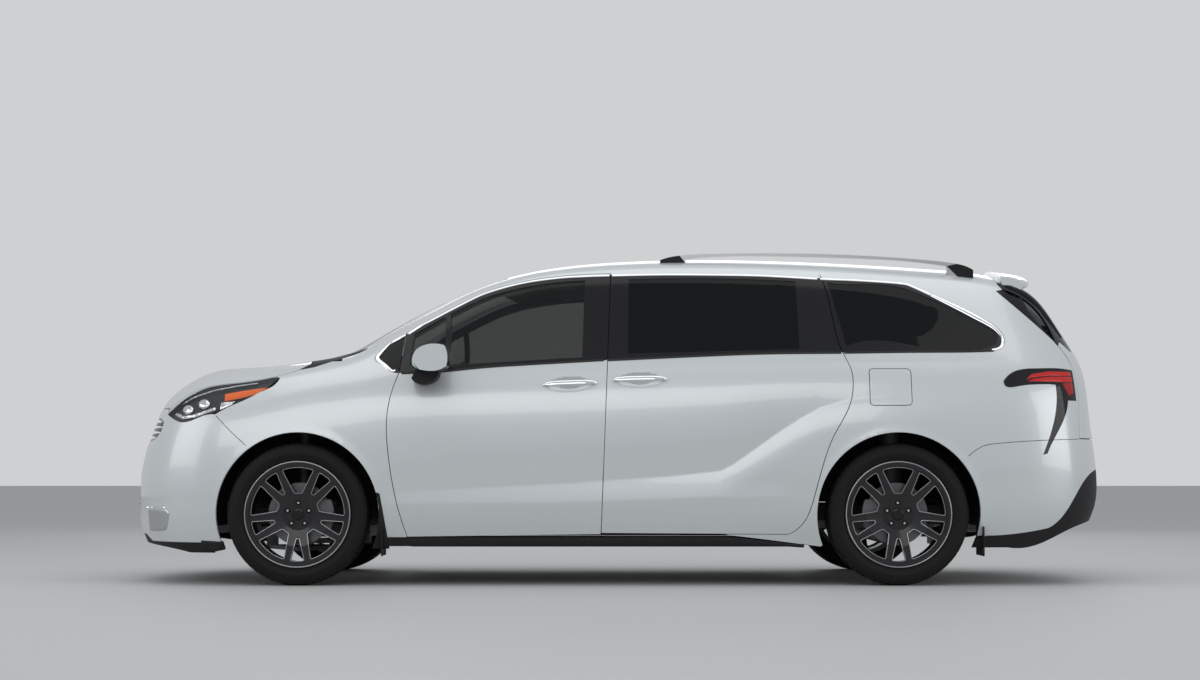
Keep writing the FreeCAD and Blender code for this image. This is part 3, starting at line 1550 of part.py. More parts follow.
beam_middle = rear_hub - upwards * size("rear_beam_drop")
beam = across(beam_middle, size("rear_beam_radius"), rear_end_y, -rear_end_y)
rear_axle = beam.fuse(rear_parts).cut(
    Part.makeCompound([pieces["floor_pan"].Shape, pieces["wheel_liners"].Shape])
)
add_piece("rear_axle", largest_solids(rear_axle))

# Mirrors on the front doors, mud flaps and wiper arms
mirror_cap = side_prism(outline(mirror_shares)).common(block(
    -half_length, 0, -mirror_outer_share * half_width, -mirror_inner_share * half_width, 0, height
))
mirror_edges = [edge for edge in mirror_cap.Edges if edge.BoundBox.YLength < clearance]
mirror_foot = side_prism(outline(mirror_foot_shares)).common(block(
    -half_length, 0,
    -(mirror_inner_share + mirror_outer_share) / 2 * half_width,
    -mirror_foot_share * half_width, 0, height,
))
mirror = mirror_cap.fuse(mirror_foot).cut(outer_body)
add_piece("mirror_left", largest_solids(mirror))
add_piece("mirror_right", mirrored(largest_solids(mirror)))

flap_width = size("tyre_width")
flaps = []
for hub in left_hubs.values():
    flap_x = hub.x + size("arch_radius") + size("mud_flap_thickness") * 2
    flaps.append(block(
        flap_x, flap_x + size("mud_flap_thickness"),
        hub.y - flap_width / 2, hub.y + flap_width / 2 - shut_gap,
        size("body_underside"), frame_bottom - clearance,
    ))
flaps += [mirrored(flap) for flap in flaps]
skirts = [pieces[name].Shape for name in ("rear_bumper", "rear_valance", "front_fenders")]
add_piece("mud_flaps", Part.makeCompound(flaps).cut(skirts))

doc.recompute()
for feature in doc.Objects:
    if any(state in ("Invalid", "Error") for state in feature.State):
        raise RuntimeError(f"{feature.Label} did not build")
for name, feature in pieces.items():
    if feature.Shape.isNull() or not feature.Shape.isValid():
        raise RuntimeError(f"{name} is not a valid shape")

os.makedirs("parts", exist_ok=True)
for name, feature in pieces.items():
    feature.Shape.exportStep(f"parts/{name}.step")
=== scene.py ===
import math

import bmesh
import bpy
import numpy as np
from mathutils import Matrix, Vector
from mathutils.geometry import delaunay_2d_cdt
from mathutils.kdtree import KDTree


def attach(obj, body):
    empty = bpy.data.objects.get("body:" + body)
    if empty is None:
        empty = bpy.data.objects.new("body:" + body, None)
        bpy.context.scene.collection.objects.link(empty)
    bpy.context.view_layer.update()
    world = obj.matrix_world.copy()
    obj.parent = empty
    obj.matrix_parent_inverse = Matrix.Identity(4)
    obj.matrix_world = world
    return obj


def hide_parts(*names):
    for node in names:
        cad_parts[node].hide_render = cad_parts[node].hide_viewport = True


# A pale silver minivan with black glass, bright window mouldings and dark five-pair wheels.
# X runs rearwards, Y to the car's right-hand side and Z up, in metres.

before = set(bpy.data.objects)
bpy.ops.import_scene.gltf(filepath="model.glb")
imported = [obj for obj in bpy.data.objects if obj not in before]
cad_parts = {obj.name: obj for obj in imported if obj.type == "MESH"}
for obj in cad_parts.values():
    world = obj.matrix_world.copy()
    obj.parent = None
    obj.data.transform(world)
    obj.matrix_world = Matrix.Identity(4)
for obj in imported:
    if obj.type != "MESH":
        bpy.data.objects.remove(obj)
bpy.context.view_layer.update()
WHEEL_TRACK_HALF = .855
AXLES = {"front": -1.622, "rear": 1.439}
HUB_HEIGHT = .362


# Materials

def finish(name, colour, roughness=.4, **inputs):
    """A plain Principled material; a number or colour goes on the shader's own socket."""
    material = bpy.data.materials.new(name)
    material.use_nodes = True
    shader = material.node_tree.nodes["Principled BSDF"]
    shader.inputs["Base Color"].default_value = (*colour, 1)
    shader.inputs["Roughness"].default_value = roughness
    for label, value in inputs.items():
        shader.inputs[label.replace("_", " ")].default_value = value
    return material


def add_grain(material, scale, depth, detail=3):
    """Fine relief on Object coordinates, for moulded plastic, rubber and cloth."""
    nodes = material.node_tree.nodes
    links = material.node_tree.links
    place = nodes.new("ShaderNodeTexCoord")
    noise = nodes.new("ShaderNodeTexNoise")
    noise.inputs["Scale"].default_value = scale
    noise.inputs["Detail"].default_value = detail
    bump = nodes.new("ShaderNodeBump")
    bump.inputs["Strength"].default_value = .35
    bump.inputs["Distance"].default_value = depth
    links.new(place.outputs["Object"], noise.inputs["Vector"])
    links.new(noise.outputs["Fac"], bump.inputs["Height"])
    links.new(bump.outputs["Normal"], nodes["Principled BSDF"].inputs["Normal"])
    return material


paint = finish("silver_white_paint", (.60, .635, .645), .30, Metallic=.25, Coat_Weight=1, Coat_Roughness=.04)
gloss_black = finish("gloss_black", (.006, .006, .007), .14, Specular_IOR_Level=.35)
moulded_black = add_grain(finish("moulded_black", (.010, .010, .011), .62, Specular_IOR_Level=.3), 900, .0004)
seal_rubber = finish("seal_rubber", (.012, .012, .012), .7)
bright_metal = finish("bright_metal", (.80, .81, .82), .10, Metallic=1)
satin_metal = finish("satin_metal", (.52, .53, .545), .28, Metallic=1)
rim_lacquer = finish("rim_lacquer", (.014, .014, .015), .30, Metallic=.6, Coat_Weight=.5, Coat_Roughness=.08)
rim_edge = finish("rim_edge", (.36, .365, .375), .26, Metallic=1)
disc_metal = finish("disc_metal", (.14, .14, .145), .36, Metallic=1)
cast_metal = add_grain(finish("cast_metal", (.17, .17, .175), .55, Metallic=.6), 500, .0008)
dark_primer = finish("dark_primer", (.035, .035, .038), .5)
exhaust_steel = finish("exhaust_steel", (.35, .34, .33), .38, Metallic=1)
tyre_rubber = add_grain(finish("tyre_rubber", (.007, .007, .007), .75, Specular_IOR_Level=.25), 700, .0005)
privacy_glass = finish("privacy_glass", (.003, .0035, .004), .02, Alpha=.90, Specular_IOR_Level=.22)
clear_glass = finish("clear_glass", (.010, .014, .013), .02, Alpha=.50, Specular_IOR_Level=.25)
lamp_glass = finish("lamp_glass", (.5, .52, .54), .02, Alpha=.07, Specular_IOR_Level=.3)
smoked_lens = finish("smoked_lens", (.012, .012, .013), .08, Alpha=.94, Specular_IOR_Level=.35)
red_lens = finish("red_lens", (.36, .012, .012), .2, Specular_IOR_Level=.3)
lit_red = finish("lit_red", (.52, .022, .020), .2, Specular_IOR_Level=.3)
amber_lens = finish("amber_lens", (.80, .13, .008), .25, Specular_IOR_Level=.25)
lamp_silver = finish("lamp_silver", (.75, .76, .78), .12, Metallic=1)
lamp_dark = finish("lamp_dark", (.012, .013, .015), .3, Specular_IOR_Level=.3)
cabin_plastic = add_grain(finish("cabin_plastic", (.035, .035, .038), .6), 650, .0004)
seat_cloth = add_grain(finish("seat_cloth", (.05, .051, .055), .85, Sheen_Weight=.3), 1500, .0006)
mirror_glass = finish("mirror_glass", (.75, .77, .78), .03, Metallic=1)

NODE_FINISHES = {
    privacy_glass: ("side_windows", "tailgate_glass"),
    clear_glass: ("windscreen", "front_door_glass_left", "front_door_glass_right"),
    moulded_black: ("cowl", "front_valance", "rear_valance", "mud_flaps", "wheel_liners", "fuel_tank"),
    gloss_black: ("grille",),
    cabin_plastic: ("dashboard", "steering_wheel"),
    dark_primer: ("floor_pan",),
    cast_metal: ("engine_block", "front_subframe", "rear_axle", "knuckle_left", "knuckle_right"),
    exhaust_steel: ("exhaust",),
}
for material, names in NODE_FINISHES.items():
    for name in names:
        for node_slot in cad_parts[name].material_slots:
            node_slot.material = material


# Floor, backdrop, lights and camera

LIGHTS = {
    "roof_panel_light": ((0, -1.5, 6.5), (0, 0, .5), (9, 5), 130),
    "near_side_light": ((-2, -9, 4.5), (0, 0, .8), (9, 3), 125),
    "far_side_light": ((1, 8, 4.5), (0, 0, .8), (9, 3), 100),
    "nose_light": ((-8, -3, 3.5), (-1, 0, .8), (6, 4), 90),
    "tail_light": ((8, -5, 2.6), (1, 0, .8), (6, 4), 130),
}
FLOOR_REACH = 60
SENSOR_WIDTH = 36
FOCAL_SHARE = 2197.98 / 1200
CAMERA_PLACE = (-.0815, -12.175, .600)
CAMERA_TILT = 3.3195


def add_to_scene(name, data):
    holder = bpy.data.objects.new(name, data)
    bpy.context.scene.collection.objects.link(holder)
    return holder


def area_light(name, place, aim, size, power):
    lamp = bpy.data.lights.new(name, "AREA")
    lamp.shape = "RECTANGLE"
    lamp.size, lamp.size_y = size
    lamp.energy = power
    holder = add_to_scene(name, lamp)
    holder.location = place
    holder.rotation_euler = (Vector(aim) - Vector(place)).to_track_quat("-Z", "Y").to_euler()


def studio():
    """A pale floor, a sky that the camera sees paler than the car does, and soft panel lights."""
    mesh = bpy.data.meshes.new("studio_floor")
    corners = [(x * FLOOR_REACH, y * FLOOR_REACH, 0) for x, y in ((-1, -1), (1, -1), (1, 1), (-1, 1))]
    mesh.from_pydata(corners, [], [(0, 1, 2, 3)])
    mesh.materials.append(finish("studio_floor", (.52, .52, .52), .6))
    add_to_scene("studio_floor", mesh)
    world = bpy.data.worlds.new("studio")
    bpy.context.scene.world = world
    world.use_nodes = True
    nodes = world.node_tree.nodes
    links = world.node_tree.links
    mix = nodes.new("ShaderNodeMixShader")
    backgrounds = (nodes["Background"], nodes.new("ShaderNodeBackground"))
    settings = (((.90, .93, .96, 1), .55), ((.78, .79, .80, 1), .8))
    for number, (background, (colour, strength)) in enumerate(zip(backgrounds, settings)):
        background.inputs["Color"].default_value = colour
        background.inputs["Strength"].default_value = strength
        links.new(background.outputs["Background"], mix.inputs[1 + number])
    links.new(nodes.new("ShaderNodeLightPath").outputs["Is Camera Ray"], mix.inputs["Fac"])
    links.new(mix.outputs["Shader"], nodes["World Output"].inputs["Surface"])
    for name, light in LIGHTS.items():
        area_light(name, *light)


def photo_camera():
    lens = bpy.data.cameras.new("photo_camera")
    lens.sensor_width = SENSOR_WIDTH
    lens.lens = FOCAL_SHARE * SENSOR_WIDTH
    camera = add_to_scene("photo_camera", lens)
    camera.location = CAMERA_PLACE
    camera.rotation_euler = (math.radians(90 + CAMERA_TILT), 0, 0)
    bpy.context.scene.camera = camera
    bpy.context.scene.view_settings.view_transform = "Standard"


studio()
photo_camera()


# Small tools for points and faces. A shape is a tuple of its points and faces and, where it has
# them, a normal for each corner and a material slot for each face

WELD = 2e-5


def millimetres(points):
    return np.array(points, float) / 1000


def unit(vectors):
    return vectors / np.maximum(np.linalg.norm(vectors, axis=1, keepdims=True), 1e-15)


def lattice_of(first, second):
    """Every pair of the two axes' values, the first one changing fastest."""
    return np.stack([axis.ravel() for axis in np.meshgrid(first, second)], 1)


def distances_along(line):
    return np.concatenate([[0], np.cumsum(np.linalg.norm(np.diff(line, axis=0), axis=1))])


def resampled(points, spacing, closed=False):
    """Points along a line of straight pieces, no further apart than the spacing."""
    if closed:
        points = np.concatenate([points, points[:1]])
    travelled = distances_along(points)
    count = max(2, math.ceil(travelled[-1] / spacing) + 1)
    wanted = np.linspace(0, travelled[-1], count)
    result = np.stack([np.interp(wanted, travelled, points[:, axis]) for axis in range(points.shape[1])], 1)
    return result[:-1] if closed else result


def smooth_line(points, spacing):
    """A Catmull-Rom curve through points, at an even spacing."""
    padded = np.concatenate([points[:1], points, points[-1:]])
    t = np.linspace(0, 1, 16, endpoint=False)[:, None]
    dense = [
        .5 * (2 * b + (c - a) * t + (2 * a - 5 * b + 4 * c - d) * t ** 2 + (3 * b - a - 3 * c + d) * t ** 3)
        for a, b, c, d in zip(padded, padded[1:], padded[2:], padded[3:])
    ]
    return resampled(np.concatenate(dense + [points[-1:]]), spacing)


def inside(points, starts, ends=None, chunk=1500):
    """Which points lie within closed loops given as edges, by counting crossings."""
    ends = np.roll(starts, -1, axis=0) if ends is None else ends
    within = np.zeros(len(points), bool)
    rise = ends[:, 1] - starts[:, 1]
    rise = np.where(rise == 0, 1e-15, rise)
    for first in range(0, len(points), chunk):
        x = points[first:first + chunk, :1]
        y = points[first:first + chunk, 1:]
        spans = (starts[None, :, 1] > y) != (ends[None, :, 1] > y)
        crossing = starts[None, :, 0] + (y - starts[None, :, 1]) / rise[None] * (ends - starts)[None, :, 0]
        within[first:first + chunk] = ((x < crossing) & spans).sum(1) % 2 == 1
    return within


def search_tree(points, keys=None):
    """A search tree over points, flat ones at height 0."""
    tree = KDTree(len(points))
    for number, point in enumerate(points):
        tree.insert((*point, 0)[:3], number if keys is None else keys[number])
    tree.balance()
    return tree


def neighbours(first, count, closed=True):
    """Pairs of numbers that follow each other in a run of so many from the first one."""
    return [(first + number, first + (number + 1) % count) for number in range(count if closed else count - 1)]


def flat_mesh(flat, links, mode):
    """Triangles between flat points, with the links among their edges, and each point's sources."""
    result = delaunay_2d_cdt([Vector(place) for place in flat], links, [], mode, 1e-7)
    return np.array([tuple(place) for place in result[0]]), np.array(result[2]), result[3]


def face_directions(points, faces):
    """The direction that each face looks in, from its first three corners."""
    start = points[faces[:, 0]]
    return np.cross(points[faces[:, 1]] - start, points[faces[:, 2]] - start)


def faces_turned_out(points, faces, outwards):
    """Triangles, each turned to look the way that is outwards at its first corner."""
    turned = (face_directions(points, faces) * outwards[faces[:, 0]]).sum(1) < 0
    faces[turned] = faces[turned][:, ::-1]
    return faces


def rim_links(triangles):
    """The directed edges that no other triangle shares."""
    edges = dict.fromkeys(edge for a, b, c in triangles for edge in ((a, b), (b, c), (c, a)))
    return [(start, end) for start, end in edges if (end, start) not in edges]


def closed_loops(links):
    """Directed edges joined into loops of point numbers."""
    following = {}
    for start, end in links:
        following.setdefault(start, []).append(end)
    loops = []
    while following:
        current = next(iter(following))
        loop = []
        while current in following:
            loop.append(current)
            after = following[current].pop()
            if not following[current]:
                del following[current]
            current = after
            if current == loop[0]:
                break
        if len(loop) > 2:
            loops.append(loop)
    return loops


def strip_faces(rows, count, joined_rows=False, joined_ends=True):
    """Quads between neighbouring rows of so many points each."""
    part, row = lattice_of(np.arange(count - (not joined_ends)), np.arange(rows - (not joined_rows))).T
    after = (part + 1) % count
    here = row * count
    there = (row + 1) % rows * count
    return np.stack([here + part, here + after, there + after, there + part], 1)


def tube(rings, outwards, probe=0, joined_rows=False, joined_ends=True, caps=(True, True)):
    """Rings joined by quads, all turned so that the probed one looks outwards."""
    rings = np.asarray(rings)
    rows, count = rings.shape[:2]
    points = rings.reshape(-1, 3)
    faces = strip_faces(rows, count, joined_rows, joined_ends).tolist()
    if caps[0]:
        faces.append(list(range(count))[::-1])
    if caps[1]:
        faces.append(list(range((rows - 1) * count, rows * count)))
    start, second, _, last = points[faces[probe]]
    if np.cross(second - start, last - start) @ outwards < 0:
        faces = [face[::-1] for face in faces]
    return points, faces


def mirrored(points, faces, normals=None, slots=None):
    """A shape's mirror image on the car's other side."""
    shape = (points * (1, -1, 1), [face[::-1] for face in faces])
    if normals is None:
        return shape
    firsts = np.cumsum([0] + [len(face) for face in faces])
    flipped = [normals[first:after][::-1] * (1, -1, 1) for first, after in zip(firsts, firsts[1:])]
    return (*shape, np.concatenate(flipped), slots)


def joined_shapes(*shapes):
    """Several shapes as one."""
    firsts = np.cumsum([0] + [len(shape[0]) for shape in shapes]).tolist()
    faces = [[corner + first for corner in face] for shape, first in zip(shapes, firsts) for face in shape[1]]
    rest = [np.concatenate(parts) for parts in zip(*[shape[2:] for shape in shapes])]
    return (np.concatenate([shape[0] for shape in shapes]), faces, *rest)


def mesh_piece(name, shape, materials):
    """An object from a shape, smooth shaded."""
    points, faces, normals, slots = (*shape, None, None)[:4]
    mesh = bpy.data.meshes.new(name)
    mesh.from_pydata([tuple(point) for point in points], [], [tuple(face) for face in faces])
    for material in materials:
        mesh.materials.append(material)
    if slots is not None:
        mesh.polygons.foreach_set("material_index", np.asarray(slots, np.int32))
    mesh.polygons.foreach_set("use_smooth", np.ones(len(mesh.polygons), bool))
    if normals is not None:
        mesh.normals_split_custom_set([tuple(normal) for normal in normals])
    mesh.update()
    return add_to_scene(name, mesh)


def add_fitting(name, shape, body, material, angle=38, replaces=()):
    piece = mesh_piece(name, shape, (material,))
    piece.data.set_sharp_from_angle(angle=math.radians(angle))
    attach(piece, body)
    if replaces:
        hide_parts(*replaces)
    return piece


def add_on_both_sides(name, shape, body, material):
    """The left side's shape and its mirror image: one piece on the body, or one on each door."""
    if body == "chassis":
        add_fitting(name, joined_shapes(shape, mirrored(*shape)), body, material)
    else:
        add_fitting(f"{name}_left", shape, f"{body}_left", material)
        add_fitting(f"{name}_right", mirrored(*shape), f"{body}_right", material)


def values_of(items, label, kind=float):
    """Three numbers for each item of a mesh."""
    values = np.zeros(len(items) * 3, kind)
    items.foreach_get(label, values)
    return values.reshape(-1, 3)


def node_arrays(node, mirror=False, half=False):
    """A CAD node's welded points, triangles and corner normals, from a copy of its mesh."""
    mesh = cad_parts[node].data.copy()
    if half:
        cut = bmesh.new()
        cut.from_mesh(mesh)
        bmesh.ops.bisect_plane(
            cut, geom=cut.verts[:] + cut.edges[:] + cut.faces[:], dist=1e-6,
            plane_co=(0, 0, 0), plane_no=(0, 1, 0), clear_outer=True,
        )
        bmesh.ops.triangulate(cut, faces=cut.faces[:])
        cut.to_mesh(mesh)
        cut.free()
    mesh.calc_loop_triangles()
    points = values_of(mesh.vertices, "co")
    triangles = values_of(mesh.loop_triangles, "vertices", np.int32)
    normals = values_of(mesh.corner_normals, "vector")[values_of(mesh.loop_triangles, "loops", np.int32)]
    bpy.data.meshes.remove(mesh)
    if mirror:
        points = points * (1, -1, 1)
        triangles = triangles[:, ::-1]
        normals = (normals * (1, -1, 1))[:, ::-1]
    places = np.round(points / WELD).astype(np.int64)
    _, first, welded = np.unique(places, axis=0, return_index=True, return_inverse=True)
    triangles = welded.reshape(-1)[triangles]
    whole = (triangles != np.roll(triangles, 1, axis=1)).all(1)
    return points[first], triangles[whole], normals[whole]


# The body's surface, from lines that run along it from the middle of the nose to the middle of
# the tail, in millimetres: the two ends, then places along, out from the middle, and up

BODY_LINES = [
    ((-2545, 222), (2520, 285), [
        (-1950, 930, 215), (-1622, 936, 215), (-1150, 925, 217), (900, 925, 217), (1439, 932, 212),
        (2000, 905, 205),
    ]),
    ((-2580, 320), (2572, 380), [
        (-1950, 962, 330), (-1622, 980, 330), (-1150, 966, 328), (900, 966, 330), (1439, 982, 330),
        (2000, 950, 335),
    ]),
    ((-2587, 430), (2587, 480), [
        (-1950, 972, 450), (-1622, 992, 452), (-1150, 983, 440), (0, 985, 450), (900, 983, 445),
        (1439, 995, 455), (2000, 966, 460),
    ]),
    ((-2575, 560), (2580, 620), [
        (-1950, 968, 600), (-1622, 994, 620), (-1150, 986, 620), (0, 988, 630), (900, 984, 640),
        (1439, 997, 650), (2000, 970, 640),
    ]),
    ((-2545, 690), (2552, 800), [
        (-1950, 953, 745), (-1622, 984, 790), (-1150, 982, 810), (0, 984, 830), (900, 978, 850),
        (1439, 988, 865), (2000, 964, 850),
    ]),
    ((-2510, 800), (2540, 960), [
        (-1950, 922, 868), (-1622, 952, 930), (-1150, 958, 975), (0, 960, 1015), (900, 960, 1040),
        (1439, 960, 1052), (2000, 938, 1040),
    ]),
    ((-2480, 870), (2530, 1100), [
        (-1950, 878, 950), (-1622, 912, 1020), (-1180, 906, 1088), (-400, 902, 1130), (400, 895, 1168),
        (1100, 886, 1190), (1439, 880, 1195), (2000, 858, 1198),
    ]),
    ((-2462, 905), (2480, 1205), [
        (-1950, 832, 1012), (-1622, 862, 1076), (-1300, 858, 1122), (-1180, 852, 1152), (-1040, 840, 1195),
        (-700, 815, 1295), (-400, 805, 1345), (-100, 803, 1365), (700, 800, 1385), (1439, 793, 1378),
        (2000, 765, 1362),
    ]),
    ((-2448, 930), (2405, 1315), [
        (-1950, 770, 1060), (-1622, 792, 1120), (-1300, 794, 1178), (-1180, 786, 1245), (-1040, 768, 1332),
        (-700, 740, 1510), (-400, 731, 1590), (-100, 730, 1606), (300, 730, 1614), (700, 728, 1612),
        (1100, 723, 1598), (1439, 716, 1578), (2000, 680, 1532),
    ]),
    ((-2430, 952), (2320, 1448), [
        (-1950, 655, 1098), (-1622, 676, 1150), (-1350, 694, 1190), (-1270, 694, 1240), (-1180, 690, 1298),
        (-1040, 680, 1385), (-700, 656, 1562), (-400, 645, 1648), (-100, 640, 1676), (300, 640, 1688),
        (700, 638, 1686), (1100, 633, 1670), (1439, 626, 1652), (2000, 590, 1612),
    ]),
    ((-2410, 972), (2262, 1550), [
        (-1950, 390, 1132), (-1622, 400, 1168), (-1460, 404, 1190), (-1370, 404, 1235), (-1240, 402, 1322),
        (-1040, 398, 1432), (-700, 390, 1592), (-400, 385, 1672), (-100, 382, 1706), (300, 380, 1720),
        (700, 380, 1720), (1100, 378, 1704), (1439, 374, 1688), (2000, 350, 1652),
    ]),
    ((-2400, 982), (2228, 1608), [
        (-1950, 140, 1143), (-1622, 140, 1176), (-1500, 140, 1196), (-1410, 140, 1240), (-1238, 140, 1347),
        (-1069, 140, 1438), (-889, 140, 1524), (-693, 140, 1608), (-517, 140, 1662), (-321, 140, 1699),
        (-100, 140, 1720), (300, 140, 1739), (700, 140, 1740), (1083, 140, 1718), (1439, 140, 1702),
        (2000, 130, 1668),
    ]),
    ((-2396, 985), (2205, 1634), [
        (-1950, 0, 1143), (-1622, 0, 1176), (-1500, 0, 1196), (-1410, 0, 1240), (-1238, 0, 1347),
        (-1069, 0, 1438), (-889, 0, 1524), (-693, 0, 1608), (-517, 0, 1662), (-321, 0, 1699),
        (-100, 0, 1720), (300, 0, 1739), (700, 0, 1740), (1083, 0, 1718), (1439, 0, 1702), (2000, 0, 1668),
    ]),
]
STATIONS = (
    -1950, -1780, -1622, -1450, -1300, -1180, -1040, -860, -650, -400, -100, 300, 700, 1100, 1439, 1720, 2000,
)
# The upper lines' stations stand forward of the sill's, as the windscreen's base does
STATION_LEADS = (0, 0, 0, 0, 0, 0, 0, 0, 10, 60, 130, 155, 155)
CORNER_SHARES = (0, .16, .36, .56, .74, .88, .97)
NOSE_ROUNDNESS = 2.4
TAIL_ROUNDNESS = 3
UNDERSIDE_TUCK = .985
UNDERSIDE_HEIGHT = 150


def rounded_corner(side_point, end_x, end_z, roundness):
    points = []
    for share in CORNER_SHARES:
        reach = (1 - share ** roundness) ** (1 / roundness)
        if share == CORNER_SHARES[1]:
            reach = 1
        rise = math.sin((1 - reach) * math.pi / 2)
        points.append((
            side_point[0] + (end_x - side_point[0]) * reach,
            side_point[1] * share,
            end_z + (side_point[2] - end_z) * rise,
        ))
    return points


def body_net():
    """The surface's control net for the car's left side, in metres."""
    rows = []
    for (nose, tail, keys), lead in zip(BODY_LINES, STATION_LEADS):
        along, out, up = zip(*keys)
        side = [
            (station - lead, np.interp(station - lead, along, out), np.interp(station - lead, along, up))
            for station in STATIONS
        ]
        nose_corner = rounded_corner(side[0], *nose, NOSE_ROUNDNESS)
        tail_corner = rounded_corner(side[-1], *tail, TAIL_ROUNDNESS)
        rows.append(nose_corner + side + tail_corner[::-1])
    net = np.array(rows, float)
    underside = net[0] * UNDERSIDE_TUCK
    underside[:, 2] = UNDERSIDE_HEIGHT
    net = np.concatenate([underside[None], net]) / 1000
    net[:, :, 1] *= -1
    return net


NET = body_net()


def spline_weights(count, place):
    """Clamped uniform cubic weights, one row for each place from 0 to 1."""
    knots = np.concatenate([[0] * 3, np.linspace(0, 1, count - 2), [1] * 3])
    place = np.clip(place, 0, 1 - 1e-9)[:, None]
    weights = ((knots[:-1] <= place) & (place < knots[1:])).astype(float)
    for degree in (1, 2, 3):
        rise = knots[degree:] - knots[:-degree]
        rise = np.where(rise > 0, rise, np.inf)
        start = (place - knots[:-degree]) / rise
        weights = start[:, :-1] * weights[:, :-1] + (1 - start[:, 1:]) * weights[:, 1:] * (rise[1:] < np.inf)
    return weights


def smooth_point(along, up):
    """Places on the plain surface, for shares of the way along and up it."""
    rows = spline_weights(NET.shape[0], up)
    columns = spline_weights(NET.shape[1], along)
    return np.einsum("ni,nj,ijk->nk", rows, columns, NET, optimize=True)


STEP = 1e-4


def slopes(place, along, up):
    """How fast a surface moves along and up it."""
    by_along = place(np.clip(along + STEP, 0, 1), up) - place(np.clip(along - STEP, 0, 1), up)
    by_up = place(along, np.clip(up + STEP, 0, 1)) - place(along, np.clip(up - STEP, 0, 1))
    return by_along / (2 * STEP), by_up / (2 * STEP)


def smooth_frame(along, up):
    by_along, by_up = slopes(smooth_point, along, up)
    return smooth_point(along, up), unit(np.cross(by_along, by_up)), by_along, by_up


# Creases pressed into the sides, as (x, z, depth) along each one, in metres

SWOOSH = np.array([
    (-1.25, .462, 0), (-1.10, .478, .004), (-.80, .495, .008), (-.285, .521, .012), (.267, .559, .015),
    (.532, .587, .017), (.598, .620, .017), (.7085, .697, .017), (.819, .774, .016), (.93, .846, .015),
    (1.04, .9065, .014), (1.2, .951, .012), (1.446, .975, .010), (1.7, 1.000, .007),
    (1.976, 1.0186, .004), (2.12, 1.024, 0),
])
LOWER_CREST = np.array([
    (-1.25, .412, 0), (-1.10, .415, .004), (-.285, .422, .005), (.488, .449, .005), (.80, .452, .004),
    (.98, .454, 0),
])
BELT_HOLLOW = np.array([
    (-1.30, 1.02, 0), (-1.05, 1.048, .003), (-.40, 1.082, .003), (.40, 1.118, .003), (1.16, 1.140, .003),
    (1.9, 1.150, .002), (2.05, 1.152, 0),
])
ARCH_RADIUS = .418
# Door handles: middle along and up, half length, and rise along the length
HANDLES = {"front": (-.235, 1.026, .138, .035), "sliding": (.123, 1.048, .138, .02)}
BOWL_DEPTH = .017


def pressed_in(x, z, line, rounding, above, below):
    """How far a crease's own curve reaches at each place: 1 on the line, easing to 0 above and below."""
    level = np.interp(x, line[:, 0], line[:, 1])
    depth = np.interp(x, line[:, 0], line[:, 2], left=0, right=0)
    away = z - level
    distance = np.sqrt(away ** 2 + rounding ** 2) - rounding
    reach = np.where(away > 0, above, below)
    return depth * np.clip(1 - distance / reach, 0, 1) ** 2


def relief(point):
    """The creases' height over the plain surface at each place."""
    x = point[:, 0]
    z = point[:, 2]
    height = -pressed_in(x, z, SWOOSH, .006, .42, .15)
    height += pressed_in(x, z, LOWER_CREST, .004, .09, .09)
    height -= pressed_in(x, z, BELT_HOLLOW, .006, .05, .14)
    for axle in AXLES.values():
        away = np.hypot(x - axle, z - HUB_HEIGHT) - ARCH_RADIUS
        height += .0035 * np.clip(1 - np.maximum(away, 0) / .05, 0, 1) ** 2 * (z > .2)
    for middle_x, middle_z, half, slope in HANDLES.values():
        level = middle_z + (x - middle_x) * slope
        reach = np.hypot((x - middle_x) / (half * .80), (z - level) / .040)
        height -= BOWL_DEPTH * np.clip(1.15 - reach ** 3, 0, 1)
    facing = np.clip((np.abs(point[:, 1]) - .60) / .15, 0, 1)
    return height * facing


def body_place(along, up):
    point, normal, _, _ = smooth_frame(along, up)
    return point + normal * relief(point)[:, None]


def body_place_and_normal(along, up):
    return body_place(along, up), unit(np.cross(*slopes(body_place, along, up)))


sample_along, sample_up = lattice_of(np.linspace(0, 1, 521), np.linspace(0, 1, 261)).T
sample_points = smooth_point(sample_along, sample_up)
sample_tree = search_tree(sample_points)


def flat_view(keep, axes):
    """The sampled surface as it is seen from one side: a search tree and the two axes it shows."""
    chosen = np.where(keep)[0]
    return search_tree(sample_points[chosen][:, list(axes)], chosen.tolist()), axes


sample_x, sample_y, sample_z = sample_points.T
SIDE_VIEW = flat_view((sample_y < -.55) & (sample_z > .16) & (sample_z < 1.72), (0, 2))
TAIL_VIEW = flat_view((sample_x > 1.9) & (sample_z > .16), (1, 2))


def nearest_shares(tree, places):
    nearest = [tree.find((*place, 0)[:3])[1] for place in places]
    return sample_along[nearest], sample_up[nearest]


def shares_of(points):
    """Shares along and up the surface for places on or near it, and how far off it they are."""
    along, up = nearest_shares(sample_tree, points)
    for _ in range(5):
        place, _, by_along, by_up = smooth_frame(along, up)
        miss = points - place
        aa = (by_along ** 2).sum(1)
        ab = (by_along * by_up).sum(1)
        bb = (by_up ** 2).sum(1)
        ma = (miss * by_along).sum(1)
        mb = (miss * by_up).sum(1)
        scale = aa * bb - ab ** 2
        scale = np.where(scale > 1e-12, scale, np.inf)
        along = np.clip(along + (bb * ma - ab * mb) / scale, 0, 1)
        up = np.clip(up + (aa * mb - ab * ma) / scale, 0, 1)
    return along, up, np.linalg.norm(points - smooth_point(along, up), axis=1)


